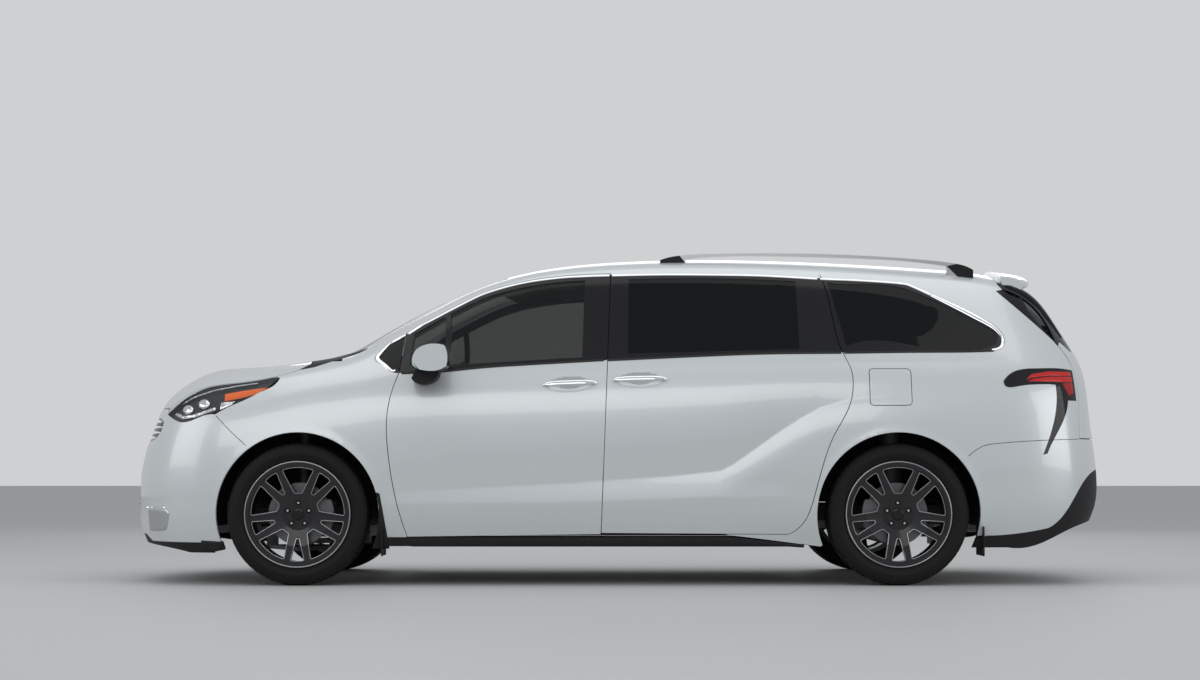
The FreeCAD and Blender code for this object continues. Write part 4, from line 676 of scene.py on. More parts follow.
def seen_shares(view, flat):
    """Shares along and up the surface for places given in one flat view."""
    tree, axes = view
    along, up = nearest_shares(tree, flat)
    for _ in range(6):
        place, _, by_along, by_up = smooth_frame(along, up)
        along_first, along_second = by_along[:, axes].T
        up_first, up_second = by_up[:, axes].T
        miss_first, miss_second = (flat - place[:, axes]).T
        scale = along_first * up_second - along_second * up_first
        scale = np.where(np.abs(scale) > 1e-9, scale, np.inf)
        along = np.clip(along + (miss_first * up_second - miss_second * up_first) / scale, 0, 1)
        up = np.clip(up + (along_first * miss_second - along_second * miss_first) / scale, 0, 1)
    return along, up


def on_body(view, flat):
    """Places on the pressed body for places in a flat view, with the directions outwards there."""
    flat = np.array(flat, float)
    side = np.ones(len(flat))
    if 1 in view[1]:
        column = view[1].index(1)
        side = np.where(flat[:, column] > 0, -1, 1)
        flat[:, column] = -np.abs(flat[:, column])
    point, normal = body_place_and_normal(*seen_shares(view, flat))
    point[:, 1] *= side
    normal[:, 1] *= side
    return point, normal


# Where the panels turn gloss black: inside the bright window moulding, along the sill, and between
# the rear quarter and the tailgate's glass

GLASS_LINE = millimetres([
    (-1246, 1166), (-1150, 1089), (-1125, 1083), (-876, 1094), (-618, 1118), (-159, 1145), (29, 1153),
    (672, 1182), (1160, 1191), (1700, 1197), (1930, 1199), (1975, 1210), (2004, 1235), (2012, 1262),
    (1990, 1302),
    (1951, 1338), (1842, 1405), (1700, 1478), (1558, 1546), (1492, 1565), (1054, 1590), (849, 1600),
    (476, 1610), (-29, 1607), (-309, 1593), (-495, 1563), (-681, 1511), (-820, 1443), (-959, 1366),
    (-1018, 1336), (-1079, 1296), (-1179, 1243),
])
# Places along the sill, and the black strip's upper edge there
SILL_STRIP = ((-1.20, .60, .90, 1.20), (.246, .246, .215, .19))
PILLAR_EDGE = millimetres([(2066, 1542), (1996, 1525), (2312, 1232)])
PILLAR_SPACE = np.concatenate([PILLAR_EDGE, millimetres([(2450, 1232), (2450, 1542)])])
PILLAR_FOOT = 1.245
PILLAR_HEAD = 1.575


def side_finish(places):
    x, y, z = places.T
    black = (z < np.interp(x, *SILL_STRIP)) & (np.abs(x) < 1.2)
    for outline in (GLASS_LINE, PILLAR_SPACE):
        black |= inside(places[:, [0, 2]], outline) & (np.abs(y) > .55)
    return black


def tail_finish(places):
    return (np.abs(places[:, 1]) > .5) & (places[:, 2] > PILLAR_FOOT) & (places[:, 2] < PILLAR_HEAD)


def zone_slots(zone, places):
    return (zone(places) if zone else np.zeros(len(places))).astype(np.int32)


sill_x = np.arange(-1.19, .98, .012)
FINISH_LINES = [seen_shares(SIDE_VIEW, line) for line in (
    resampled(GLASS_LINE, .010, closed=True), np.stack([sill_x, np.interp(sill_x, *SILL_STRIP)], 1),
    resampled(PILLAR_EDGE, .012),
)]


# The panels: each one's outer skin is rebuilt fine and smooth

EDGE_ROUND = .0012
EDGE_ANGLES = [share * math.pi / 2 for share in (.35, .70, 1)]
FLANGE_DEPTH = .012
SKIN_MISS = 4e-4


def detail_places():
    """Places in the side view where a skin's mesh is denser: along the creases and over the bowls."""
    places = []
    for line in (SWOOSH, LOWER_CREST):
        x = np.arange(line[0, 0], line[-1, 0], .012)
        level = np.interp(x, line[:, 0], line[:, 1])
        places += [np.stack([x, level + shift], 1) for shift in (-.010, -.003, .003, .010)]
    for x, z, half, _ in HANDLES.values():
        places.append(lattice_of(np.linspace(x - half, x + half, 46), np.linspace(z - .05, z + .05, 18)))
    return np.concatenate(places)


DETAIL_SHARES = seen_shares(SIDE_VIEW, detail_places())


def flat_chart(middle_along, middle_up):
    """A flat chart of the surface, close to true lengths, as ways there and back."""
    grid = np.linspace(0, 1, 1001)
    chart_along = distances_along(smooth_point(grid, np.full(1001, middle_up)))
    chart_up = distances_along(smooth_point(np.full(1001, middle_along), grid))

    def to_chart(along, up):
        return np.stack([np.interp(along, grid, chart_along), np.interp(up, grid, chart_up)], 1)

    def from_chart(flat):
        return np.interp(flat[:, 0], chart_along, grid), np.interp(flat[:, 1], chart_up, grid)

    return to_chart, from_chart


def finer_loop(corners, spacing):
    dense = []
    for corner, after in zip(corners, np.roll(corners, -1, axis=0)):
        pieces = max(1, math.ceil(np.linalg.norm(after - corner) / spacing))
        dense += [corner + (after - corner) * part / pieces for part in range(pieces)]
    return np.array(dense)


def smooth_skin(rims, chart, spacing, zone):
    """The skin inside its rims, which are given as shares along and up the surface."""
    to_chart, from_chart = chart
    flat_rims = [to_chart(*rim) for rim in rims]
    starts = np.concatenate(flat_rims)
    ends = np.concatenate([np.roll(rim, -1, axis=0) for rim in flat_rims])
    links = []
    for rim in flat_rims:
        links += neighbours(len(links), len(rim))
    low = starts.min(0)
    high = starts.max(0)
    lattice = lattice_of(*[np.arange(low[axis] + spacing * .5, high[axis], spacing) for axis in (0, 1)])
    lattice = np.concatenate([lattice, to_chart(*DETAIL_SHARES)])
    lattice = lattice[(lattice > low).all(1) & (lattice < high).all(1)]
    lattice = lattice[inside(lattice, starts, ends)]
    tree = search_tree(starts)
    lattice = lattice[np.array([tree.find((*place, 0))[2] > spacing * .4 for place in lattice], bool)]
    flat = np.concatenate([starts, lattice])
    free = range(len(starts), len(flat))
    for shares in FINISH_LINES if zone is side_finish else ():
        links += neighbours(len(flat), len(shares[0]), closed=False)
        flat = np.concatenate([flat, to_chart(*shares)])
    flat, faces, sources = flat_mesh(flat, links, 0)
    known = np.array([any(source in free for source in found) for found in sources])
    sure = known[faces].any(1)
    sure[~sure] = inside(flat[faces[~sure]].mean(1), starts, ends)
    used, faces = np.unique(faces[sure], return_inverse=True)
    points, normals = body_place_and_normal(*from_chart(flat[used]))
    faces = faces_turned_out(points, faces.reshape(-1, 3), normals)
    slots = zone_slots(zone, points[faces].mean(1))
    return points, faces.tolist(), normals[faces].reshape(-1, 3), slots


def rounded_edge(along, up, depth, half, zone):
    """The skin's edge rounded over and carried down as a short flange, but not along the car's middle."""
    place, normal = body_place_and_normal(along, up)
    count = len(place)
    sideward = unit(np.cross(np.roll(place, -1, axis=0) - np.roll(place, 1, axis=0), normal))
    rings = [place]
    normals = [normal]
    for angle in EDGE_ANGLES:
        rings.append(place + (sideward * math.sin(angle) - normal * (1 - math.cos(angle))) * EDGE_ROUND)
        normals.append(normal * math.cos(angle) + sideward * math.sin(angle))
    rings.append(place + sideward * EDGE_ROUND - normal * depth)
    normals.append(sideward)
    quads = strip_faces(len(rings), count)[:, [1, 0, 3, 2]]
    if half:
        middle = np.abs(place[:, 1]) < WELD
        quads = quads[~(middle & np.roll(middle, -1))[quads[:, 1] % count]]
    slots = zone_slots(zone, place)[quads[:, 1] % count]
    return np.concatenate(rings), quads.tolist(), np.concatenate(normals)[quads].reshape(-1, 3), slots


def pressed_skin(
    node, mirror=False, half=False, spacing=.018, zone=side_finish, keep_inside=True, depth=FLANGE_DEPTH
):
    """The node's outer skin, rebuilt with its creases, rounded edges and a short flange, and the
    node's other faces as they are, but black in the wheel arches, as painted shade for the arches."""
    points, triangles, normals = node_arrays(node, mirror, half)
    along, up, off = shares_of(points)
    _, outwards, _, _ = smooth_frame(along[triangles].mean(1), up[triangles].mean(1))
    outer = (off < SKIN_MISS)[triangles].all(1)
    outer &= (unit(face_directions(points, triangles)) * outwards).sum(1) > .6
    loops = closed_loops(rim_links(triangles[outer]))
    rims = [shares_of(finer_loop(points[loop], spacing * .8))[:2] for loop in loops]
    chart = flat_chart(np.median(along[triangles[outer]]), np.median(up[triangles[outer]]))
    shapes = [smooth_skin(rims, chart, spacing, zone)]
    shapes += [rounded_edge(*rim, depth, half, zone) for rim in rims]
    if keep_inside:
        inner = triangles[~outer]
        middle = points[inner].mean(1)
        from_axles = [np.hypot(middle[:, 0] - axle, middle[:, 2] - HUB_HEIGHT) for axle in AXLES.values()]
        # Inner faces near the wheel arches take gloss black: painted shade for the dark arches
        slots = np.where(np.min(from_axles, axis=0) < ARCH_RADIUS + .06, 1, zone_slots(zone, middle))
        _, outwards, _, _ = smooth_frame(along, up)
        moved = points + outwards * (relief(points) * np.clip(1.5 - off / .03, 0, 1))[:, None]
        shapes.append((moved, inner.tolist(), normals[~outer].reshape(-1, 3), slots))
    return joined_shapes(*shapes)


def add_panel(node, shape, body):
    piece = mesh_piece(f"{node}_skin", shape, (paint, gloss_black))
    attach(piece, body)
    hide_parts(node)


left_side = pressed_skin("body_side_left")
add_panel("body_side_left", left_side, "chassis")
right_side = pressed_skin("body_side_right", mirror=True)
add_panel("body_side_right", mirrored(*right_side), "chassis")
for stem in ("front_door", "sliding_door"):
    door = pressed_skin(f"{stem}_left")
    for side, shape in (("left", door), ("right", mirrored(*door))):
        add_panel(f"{stem}_{side}", shape, f"{stem}_{side}" if stem == "front_door" else "chassis")
for node, body, zone in (
    ("front_fenders", "chassis", side_finish), ("front_bumper", "chassis", None),
    ("rear_bumper", "chassis", None), ("hood", "hood", None), ("roof_panel", "chassis", None),
    ("tailgate", "tailgate", tail_finish),
):
    half_panel = pressed_skin(node, half=True, spacing=.018 if zone else .024, zone=zone)
    add_panel(node, joined_shapes(half_panel, mirrored(*half_panel)), body)
add_panel("fuel_door", pressed_skin("fuel_door", zone=None), "fuel_door")


# Fittings that lie on the body, with their lines given in the side view

def bar_on_body(line, widths, height, sink=.003):
    """A low rounded bar along a line of the body; its width eases between the given widths."""
    place, normal = on_body(SIDE_VIEW, line)
    across = unit(np.cross(np.gradient(place, axis=0), normal))
    width = np.interp(np.linspace(0, 1, len(line)), np.linspace(0, 1, len(widths)), widths)[:, None]
    low = .45 * height
    section = ((-.5, -sink), (-.5, low), (-.30, height), (.30, height), (.5, low), (.5, -sink))
    rows = [place + across * width * share + normal * rise for share, rise in section]
    return tube(np.stack(rows, 1), normal[0], 2, joined_ends=False)


def plate_on_body(outline, depth=0, thickness=.003, rounding=.004, spacing=.009, back=.002):
    """A plate that follows the body inside an outline, its edge rounded over."""
    rim = resampled(outline, spacing * .6, closed=True)
    lattice = lattice_of(*[np.arange(rim[:, axis].min(), rim[:, axis].max(), spacing) for axis in (0, 1)])
    lattice = lattice[inside(lattice, rim)]
    lattice = lattice[np.linalg.norm(lattice[:, None] - rim[None], axis=2).min(1) > spacing * .35]
    flat, faces, _ = flat_mesh(np.concatenate([rim, lattice]), neighbours(0, len(rim)), 1)
    place, normal = on_body(SIDE_VIEW, flat)
    away = np.linalg.norm(flat[:, None] - rim[None], axis=2).min(1)
    ease = np.clip(1 - away / rounding, 0, 1)
    top = place + normal * (thickness * np.sqrt(1 - ease ** 2) - depth)[:, None]
    faces = faces_turned_out(top, faces, normal).tolist()
    count = len(top)
    sides = [[end, start, start + count, end + count] for start, end in rim_links(faces)]
    underside = [[corner + count for corner in reversed(face)] for face in faces]
    return np.concatenate([top, place - normal * (depth + back)]), faces + sides + underside


# Bright moulding over the side windows, and the thin black strip under them

MOULDINGS = {
    "corner_window_moulding": ("chassis", .010, (.010, .022, .026, .020, .014, .012), .0045, [
        (-1132, 1098), (-1150, 1095), (-1190, 1124), (-1234, 1160), (-1222, 1188), (-1179, 1236),
        (-1136, 1262), (-1090, 1285),
    ]),
    "door_window_moulding": ("front_door", .016, (.013, .013), .0045, [
        (-1076, 1293), (-1018, 1332), (-959, 1363), (-820, 1438), (-681, 1506), (-495, 1559), (-309, 1587),
        (-160, 1597), (-33, 1601),
    ]),
    "sliding_door_moulding": ("chassis", .020, (.013, .013), .0045, [
        (-18, 1601), (240, 1606), (476, 1605), (700, 1602), (849, 1596), (1054, 1584),
    ]),
    "quarter_window_moulding": ("chassis", .012, (.013, .013, .013, .014, .016, .024, .030, .022, .012), .005, [
        (1070, 1583), (1280, 1575), (1492, 1560), (1558, 1541), (1700, 1472), (1842, 1400), (1951, 1336),
        (1992, 1296), (2006, 1262), (1997, 1230), (1972, 1212), (1940, 1206),
    ]),
}
BELT_STRIPS = {
    "door_belt_strip": ("front_door", [
        (-1100, 1082), (-876, 1094), (-618, 1118), (-159, 1145), (-62, 1150),
    ]),
    "sliding_door_belt_strip": ("chassis", [(-40, 1150), (29, 1153), (672, 1182), (1160, 1190)]),
    "quarter_belt_strip": ("chassis", [(1176, 1190), (1500, 1195), (1800, 1197), (1950, 1202)]),
}
for name, (body, spacing, widths, height, line) in MOULDINGS.items():
    shape = bar_on_body(smooth_line(millimetres(line), spacing), widths, height)
    add_on_both_sides(name, shape, body, bright_metal)
for name, (body, line) in BELT_STRIPS.items():
    strip = bar_on_body(smooth_line(millimetres(line), .02), (.011, .011), .004)
    add_on_both_sides(name, strip, body, seal_rubber)


# A black plate along the foot of each sill, the guards on the body behind and before the front
# wheels, and the panels that close the wheel spaces

sill_places = np.linspace(-1.065, .96, 120)
sill_top = np.interp(sill_places, SILL_STRIP[0], np.array(SILL_STRIP[1]) - .0025)
sill_foot = np.interp(sill_places, (-1.06, -1.03, .88, .95), (.200, .197, .197, .192))
sill_edges = [np.stack([sill_places, heights], 1) for heights in (sill_top, sill_foot)]
sill_outline = np.concatenate([sill_edges[0], sill_edges[1][::-1]])
sill_foot_plate = plate_on_body(sill_outline, 0, .004, .006, .012, back=.030)
add_on_both_sides("sill_foot_plates", sill_foot_plate, "chassis", moulded_black)
GUARDS = (
    [
        (-1222, 476), (-1201, 468), (-1185, 380), (-1170, 285), (-1157, 200), (-1156, 186), (-1246, 186),
        (-1238, 204), (-1219, 260), (-1207, 330), (-1205, 400), (-1213, 445),
    ],
    [(-2120, 228), (-2004, 223), (-1994, 182), (-2040, 172), (-2120, 168)],
)
guards = joined_shapes(*[plate_on_body(millimetres(line), 0, .007, .003, .010, back=.012) for line in GUARDS])
add_on_both_sides("arch_guards", guards, "chassis", moulded_black)
# The last face is the foot of a box whose corners change fastest along their last measure
BOX_FACES = [[0, 1, 3, 2], [4, 6, 7, 5], [0, 4, 5, 1], [2, 3, 7, 6], [1, 5, 7, 3], [0, 2, 6, 4]]
closing_panel = np.array([(x, y, z) for x in (-1.36, -1.20) for y in (-.506, -.500) for z in (.33, .47)])
add_on_both_sides("wheel_space_closing_panels", (closing_panel, BOX_FACES), "chassis", moulded_black)


# Bright inserts at the lower front corners, each under a chrome strip

CORNER_INSERTS = {
    "front_corner_inserts": (satin_metal, .004, [
        (-2436, 382), (-2380, 384), (-2312, 384), (-2294, 366), (-2306, 300), (-2322, 276), (-2380, 270),
        (-2430, 270),
    ]),
    "front_corner_strips": (bright_metal, .006, [
        (-2452, 396), (-2380, 399), (-2308, 398), (-2284, 370), (-2290, 366), (-2312, 390), (-2380, 391),
        (-2452, 388),
    ]),
}
for name, (material, thickness, outline) in CORNER_INSERTS.items():
    add_on_both_sides(name, plate_on_body(millimetres(outline), 0, thickness), "chassis", material)


# Lamps: a dark housing, what shows inside it, and a clear skin flush with the body

def lamp_housing(name, node, material):
    """The lamp's own inner walls, turned to face out through its lens."""
    points, triangles, _ = node_arrays(node)
    _, _, off = shares_of(points * np.where(points[:, 1:2] > 0, (1, -1, 1), (1, 1, 1)))
    walls = triangles[~(off < SKIN_MISS)[triangles].all(1)][:, ::-1]
    add_fitting(name, (points, walls.tolist()), "chassis", material, replaces=[node])


def lamp_lens(name, node, material):
    skin = pressed_skin(node, half=True, spacing=.012, zone=None, keep_inside=False, depth=.004)
    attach(mesh_piece(name, joined_shapes(skin, mirrored(*skin)), (material,)), "chassis")


lamp_housing("headlamp_housings", "headlamps", lamp_dark)
lamp_lens("headlamp_lenses", "headlamps", lamp_glass)
HEADLAMP_PARTS = {
    "headlamp_side_markers": (amber_lens, .007, .004, [
        (-2018, 982), (-1930, 998), (-1850, 1009), (-1782, 1016), (-1800, 1000), (-1850, 981),
        (-1930, 960), (-2014, 944),
    ]),
    "headlamp_reflectors": (lamp_silver, .010, .003, [
        (-2034, 938), (-1960, 946), (-1975, 930), (-2036, 900),
    ]),
    "headlamp_chrome_bezel": (bright_metal, .009, .005, [
        (-2300, 876), (-2244, 852), (-2180, 858), (-2125, 876), (-2060, 898), (-2062, 914), (-2130, 892),
        (-2190, 874), (-2240, 870), (-2290, 890),
    ]),
    "headlamp_top_trim": (satin_metal, .006, .003, [
        (-2260, 936), (-2190, 972), (-2080, 1006), (-1960, 1028), (-1850, 1042), (-1850, 1037),
        (-1960, 1022), (-2080, 999), (-2188, 964), (-2256, 929),
    ]),
}
BEAM_RADIUS = .026
for name, (material, depth, thickness, outline) in HEADLAMP_PARTS.items():
    plate = plate_on_body(millimetres(outline), depth, thickness, .006, .008)
    add_on_both_sides(name, plate, "chassis", material)
for name, centre in (("headlamp_main_beams", (-2.222, .905)), ("headlamp_dipped_beams", (-2.130, .934))):
    turns = np.linspace(0, 2 * math.pi, 24, endpoint=False)
    ring = np.array(centre) + np.stack([np.cos(turns) * 1.25, np.sin(turns)], 1) * BEAM_RADIUS
    add_on_both_sides(name, plate_on_body(ring, .012, .009, BEAM_RADIUS * .9, .006), "chassis", lamp_silver)

lamp_housing("tail_lamp_housings", "tail_lamps", gloss_black)
lamp_lens("tail_lamp_lenses", "tail_lamps", smoked_lens)
TAIL_LAMP_PARTS = {
    "tail_lamp_upper_bars": (lit_red, [
        (2104, 1050), (2134, 1078), (2225, 1094), (2358, 1094), (2363, 1073), (2230, 1072), (2140, 1062),
    ]),
    "tail_lamp_lower_bars": (lit_red, [
        (2110, 1042), (2150, 1056), (2235, 1067), (2364, 1069), (2366, 1040), (2290, 1040),
    ]),
    "tail_lamp_hooks": (red_lens, [(2304, 1034), (2366, 1036), (2368, 985), (2338, 968), (2322, 1000)]),
}
for name, (material, outline) in TAIL_LAMP_PARTS.items():
    add_on_both_sides(name, plate_on_body(millimetres(outline), 0, .0015), "chassis", material)


# Door handles: a bright grip that stands off its pressed bowl, on two feet

def rounded_wave(values, power):
    return np.sign(values) * np.abs(values) ** power


def handle_grip(centre_x, centre_z, half_length, slope):
    steps = np.linspace(-1, 1, 33)
    reach = steps * half_length
    shares = seen_shares(SIDE_VIEW, np.stack([centre_x + reach, centre_z + reach * slope], 1))
    _, normal = body_place_and_normal(*shares)
    plain, _, _, _ = smooth_frame(*shares)
    stand = .016 * (1 - np.abs(steps) ** 5) + .002
    middle = plain + normal * stand[:, None]
    upward = unit(np.cross(unit(np.gradient(middle, axis=0)), normal))
    half_height = .0135 * np.clip(1.02 - np.abs(steps) ** 6, .1, 1) ** .5
    half_depth = .007
    rings = [
        middle + upward * (half_height * rounded_wave(math.sin(turn), .75))[:, None]
        + normal * half_depth * rounded_wave(math.cos(turn), .75)
        for turn in np.linspace(0, 2 * math.pi, 16, endpoint=False)
    ]
    return tube(np.stack(rings, 1), rings[0][0] - middle[0])


add_on_both_sides("front_door_handle", handle_grip(*HANDLES["front"]), "front_door", bright_metal)
add_on_both_sides("sliding_door_handle", handle_grip(*HANDLES["sliding"]), "chassis", bright_metal)


# Seams between painted panels that have no opening gap

BUMPER_SEAMS = (
    [(1794, 658), (1835, 690), (1891, 715), (2010, 728), (2173, 738), (2300, 743), (2386, 746)],
    [(-1888, 712), (-1935, 754), (-1985, 800), (-2052, 866)],
)
seams = joined_shapes(*[
    bar_on_body(smooth_line(millimetres(line), .012), (.003, .003), .0005, .001) for line in BUMPER_SEAMS
])
add_on_both_sides("bumper_seams", seams, "chassis", seal_rubber)


# CAD pieces that keep their form and take more than one finish

MIRROR_CAP_BOTTOM = 1.104
RAIL_FEET = (.34, 1.78)


def recoloured(node, body, materials, choose):
    """The node's own faces and normals, with a finish picked for each face by its middle and facing."""
    points, triangles, normals = node_arrays(node)
    slots = choose(points[triangles].mean(1), unit(face_directions(points, triangles)))
    shape = (points, triangles.tolist(), normals.reshape(-1, 3), slots)
    piece = mesh_piece(f"{node}_finished", shape, materials)
    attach(piece, body)
    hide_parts(node)


def mirror_finish(middle, facing):
    slots = np.where(middle[:, 2] < MIRROR_CAP_BOTTOM, 1, 0)
    return np.where((facing[:, 0] > .9) & (middle[:, 2] > MIRROR_CAP_BOTTOM + .01), 2, slots)


def rail_finish(middle, _):
    return (middle[:, 0] < RAIL_FEET[0]) | (middle[:, 0] > RAIL_FEET[1])


for side in ("left", "right"):
    recoloured(f"mirror_{side}", f"front_door_{side}", (paint, moulded_black, mirror_glass), mirror_finish)
recoloured("roof_rails", "chassis", (satin_metal, gloss_black), rail_finish)


# Wheels: lacquered rims with bright lines round their windows, discs, nuts, caps and treaded tyres.
# Each shape is made for a left wheel about its own centre, its outer side towards -Y

WHEELS = {
    f"{end}_{side}": (np.array((AXLES[end], sign * WHEEL_TRACK_HALF, HUB_HEIGHT)), sign)
    for end in ("front", "rear") for side, sign in (("left", -1), ("right", 1))
}
OUTER_SIDE = np.array((0, -1, 0))
# Radii and places along the axle of the spokes' faces
SPOKE_RADII = (.082, .164, .246)
SPOKE_FACES = (-.068, -.0865, -.092)
# Inner and outer radius, and half the angle at each
WIDE_WINDOW = (.108, .2375, 10, 19.5)
SLOT_WINDOW = (.123, .2375, 3, 8.5)
STUD_RADIUS = .05715
DISC_FRONT = -.030
DISC_RADIUS = .165
PAIRS = 5
NUT_RINGS = ((.0105, -.046, 1), (.0105, -.062, 1), (.0092, -.064, 0), (.0085, -.069, 0), (.005, -.0725, 0))
NUT_SIDES = 12


def window_outline(middle, inner, outer, inner_half, outer_half):
    """A spoke window's outline with rounded corners, in the wheel's plane."""
    arcs = []
    for radius, turns in (
        (outer, np.linspace(-outer_half, outer_half, 9)), (inner, np.linspace(inner_half, -inner_half, 5)),
    ):
        turns = np.radians(middle + turns)
        arcs.append(radius * np.stack([np.cos(turns), np.sin(turns)], 1))
    line = resampled(np.concatenate(arcs), .004, closed=True)
    for _ in range(4):
        line = (np.roll(line, 1, axis=0) + 2 * line + np.roll(line, -1, axis=0)) / 4
    return line


def bead_round(line, width, rise):
    """A low bead along a closed line in the wheel's plane, standing on the spoke face."""
    travel = unit(np.roll(line, -1, axis=0) - np.roll(line, 1, axis=0))
    aside = np.stack([travel[:, 1], -travel[:, 0]], 1)
    rows = []
    for share, height in ((-.2, .004), (-.2, -rise * .6), (.3, -rise), (.8, -rise * .6), (1, .001)):
        flat = line + aside * width * share
        depth = np.interp(np.linalg.norm(flat, axis=1), SPOKE_RADII, SPOKE_FACES) + height
        rows.append(np.stack([flat[:, 0], depth, flat[:, 1]], 1))
    return tube(np.stack(rows, 1), OUTER_SIDE, 2, joined_rows=True, joined_ends=False, caps=(False, False))


def lathe(profile, segments):
    """A closed profile of (radius, along) turned about the wheel's axis."""
    radius, along = np.array(profile, float).T
    area = np.sum(radius * np.roll(along, -1) - np.roll(radius, -1) * along)
    outwards = np.array((along[1] - along[0], radius[0] - radius[1], 0)) * np.sign(area)
    turns = np.linspace(0, 2 * math.pi, segments, endpoint=False)
    rings = [np.stack([radius * math.cos(turn), along, radius * math.sin(turn)], 1) for turn in turns]
    return tube(rings, outwards, joined_rows=True, caps=(False, False))


def lug_nut(turn):
    centre = np.array((STUD_RADIUS * math.cos(turn), 0, STUD_RADIUS * math.sin(turn)))
    angles = np.arange(NUT_SIDES) * 2 * math.pi / NUT_SIDES
    round_about = np.stack([np.cos(angles), np.zeros(NUT_SIDES), np.sin(angles)], 1)
    rings = []
    for radius, along, hexagon in NUT_RINGS:
        reach = np.where(np.arange(NUT_SIDES) % 2 * hexagon, radius * .87, radius)
        rings.append(centre + round_about * reach[:, None] + (0, along, 0))
    return tube(rings, rings[0][0] - centre, caps=(False, True))


wheel_beads = joined_shapes(*[
    bead_round(window_outline(90 + 72 * number + shift, *window), .0032, .0012)
    for number in range(PAIRS) for shift, window in ((0, WIDE_WINDOW), (36, SLOT_WINDOW))
])
wheel_nuts = joined_shapes(*[lug_nut(math.radians(90 + 72 * number)) for number in range(PAIRS)])
hub_cap = lathe([
    (.0001, -.050), (.0312, -.050), (.0312, -.0675), (.0295, -.0715), (.026, -.0730), (.018, -.0740),
    (.0001, -.0745),
], 48)
rim_ring = lathe([
    (.2705, -.1070), (.2705, -.1088), (.2690, -.1096), (.2665, -.1096), (.2650, -.1088), (.2650, -.1070),
], 144)


# Tyres: a smooth carcass with its grooves turned in it, and tread blocks set round it

TREAD_RADIUS = .362
GROOVE_RADIUS = .3545
TREAD_PITCHES = 66
CARCASS = [
    (.2543, -.0987), (.2715, -.0987), (.2760, -.1020), (.2800, -.1045), (.2830, -.1049), (.2860, -.1076),
    (.3000, -.1140), (.3060, -.1162), (.3080, -.1175), (.3110, -.1175), (.3130, -.1164), (.3200, -.1162),
    (.3330, -.1122), (.3420, -.1075), (.3480, -.1028), (.3522, -.0970), (GROOVE_RADIUS, -.0930),
    (GROOVE_RADIUS, -.0175), (.3612, -.0168), (TREAD_RADIUS, -.0155),
]
# Each block's edges along the axle, its share of the pitch, and its shift round the tyre
TREAD_ROWS = (
    (-.1010, -.0640, .80, 0), (-.0575, -.0250, .78, .35), (.0250, .0575, .78, .85), (.0640, .1010, .80, .5),
)


def tread_pitch():
    """One pitch of tread, as blocks that follow the tyre round, open at their feet."""
    sweep = 2 * math.pi / TREAD_PITCHES
    shapes = []
    for low, high, share, shift in TREAD_ROWS:
        half = sweep * share / 2
        corners = []
        for along in (low, high):
            outer = abs(along) > .1
            skew = (.25 if abs(along) < .06 else .1) * sweep * (1 if along < 0 else -1)
            top = TREAD_RADIUS - (.0085 if outer else 0)
            foot = GROOVE_RADIUS - (.006 if outer else .001)
            for turn in (-half, half):
                place = turn + shift * sweep + (skew if along == low else 0)
                for radius in (foot, top):
                    corners.append((radius * math.sin(place), along, radius * math.cos(place)))
        points = np.array(corners)
        faces = np.array(BOX_FACES[:5])
        inwards = ((points[faces].mean(1) - points.mean(0)) * face_directions(points, faces)).sum(1) <= 0
        faces[inwards] = faces[inwards][:, ::-1]
        shapes.append((points, faces.tolist()))
    return joined_shapes(*shapes)


def tread_tree():
    tree = bpy.data.node_groups.new("tread_ring", "GeometryNodeTree")
    for label, way, kind in (
        ("Geometry", "INPUT", "Geometry"), ("Pitches", "INPUT", "Int"), ("Rubber", "INPUT", "Material"),
        ("Geometry", "OUTPUT", "Geometry"),
    ):
        tree.interface.new_socket(label, in_out=way, socket_type=f"NodeSocket{kind}")
    nodes = {label: tree.nodes.new(kind) for label, kind in (
        ("given", "NodeGroupInput"), ("result", "NodeGroupOutput"), ("line", "GeometryNodeMeshLine"),
        ("spread", "GeometryNodeInstanceOnPoints"), ("index", "GeometryNodeInputIndex"),
        ("turn", "ShaderNodeMath"), ("part", "ShaderNodeMath"), ("axis", "ShaderNodeCombineXYZ"),
        ("real", "GeometryNodeRealizeInstances"), ("colour", "GeometryNodeSetMaterial"),
    )}
    nodes["line"].inputs["Offset"].default_value = (0, 0, 0)
    nodes["turn"].operation = "MULTIPLY"
    nodes["part"].operation = "DIVIDE"
    nodes["part"].inputs[0].default_value = 2 * math.pi
    for source, output, target, socket in (
        ("given", "Pitches", "line", "Count"), ("given", "Pitches", "part", 1), ("index", "Index", "turn", 0),
        ("part", "Value", "turn", 1), ("turn", "Value", "axis", "Y"), ("line", "Mesh", "spread", "Points"),
        ("given", "Geometry", "spread", "Instance"), ("axis", "Vector", "spread", "Rotation"),
        ("spread", "Instances", "real", "Geometry"), ("real", "Geometry", "colour", "Geometry"),
        ("given", "Rubber", "colour", "Material"), ("colour", "Geometry", "result", "Geometry"),
    ):
        tree.links.new(nodes[source].outputs[output], nodes[target].inputs[socket])
    return tree


def evaluated_mesh(piece):
    return bpy.data.meshes.new_from_object(piece.evaluated_get(bpy.context.evaluated_depsgraph_get()))


def tread_blocks():
    """The pitch repeated round the tyre by Geometry Nodes, as plain points and faces."""
    pitch = mesh_piece("tread_pitch", tread_pitch(), (tyre_rubber,))
    tree = tread_tree()
    modifier = pitch.modifiers.new("tread_ring", "NODES")
    modifier.node_group = tree
    sockets = {item.name: item.identifier for item in tree.interface.items_tree if item.in_out == "INPUT"}
    modifier[sockets["Pitches"]] = TREAD_PITCHES
    modifier[sockets["Rubber"]] = tyre_rubber
    bpy.context.view_layer.update()
    mesh = evaluated_mesh(pitch)
    shape = (values_of(mesh.vertices, "co"), [list(face.vertices) for face in mesh.polygons])
    bpy.data.meshes.remove(mesh)
    bpy.data.objects.remove(pitch)
    bpy.data.node_groups.remove(tree)
    return shape


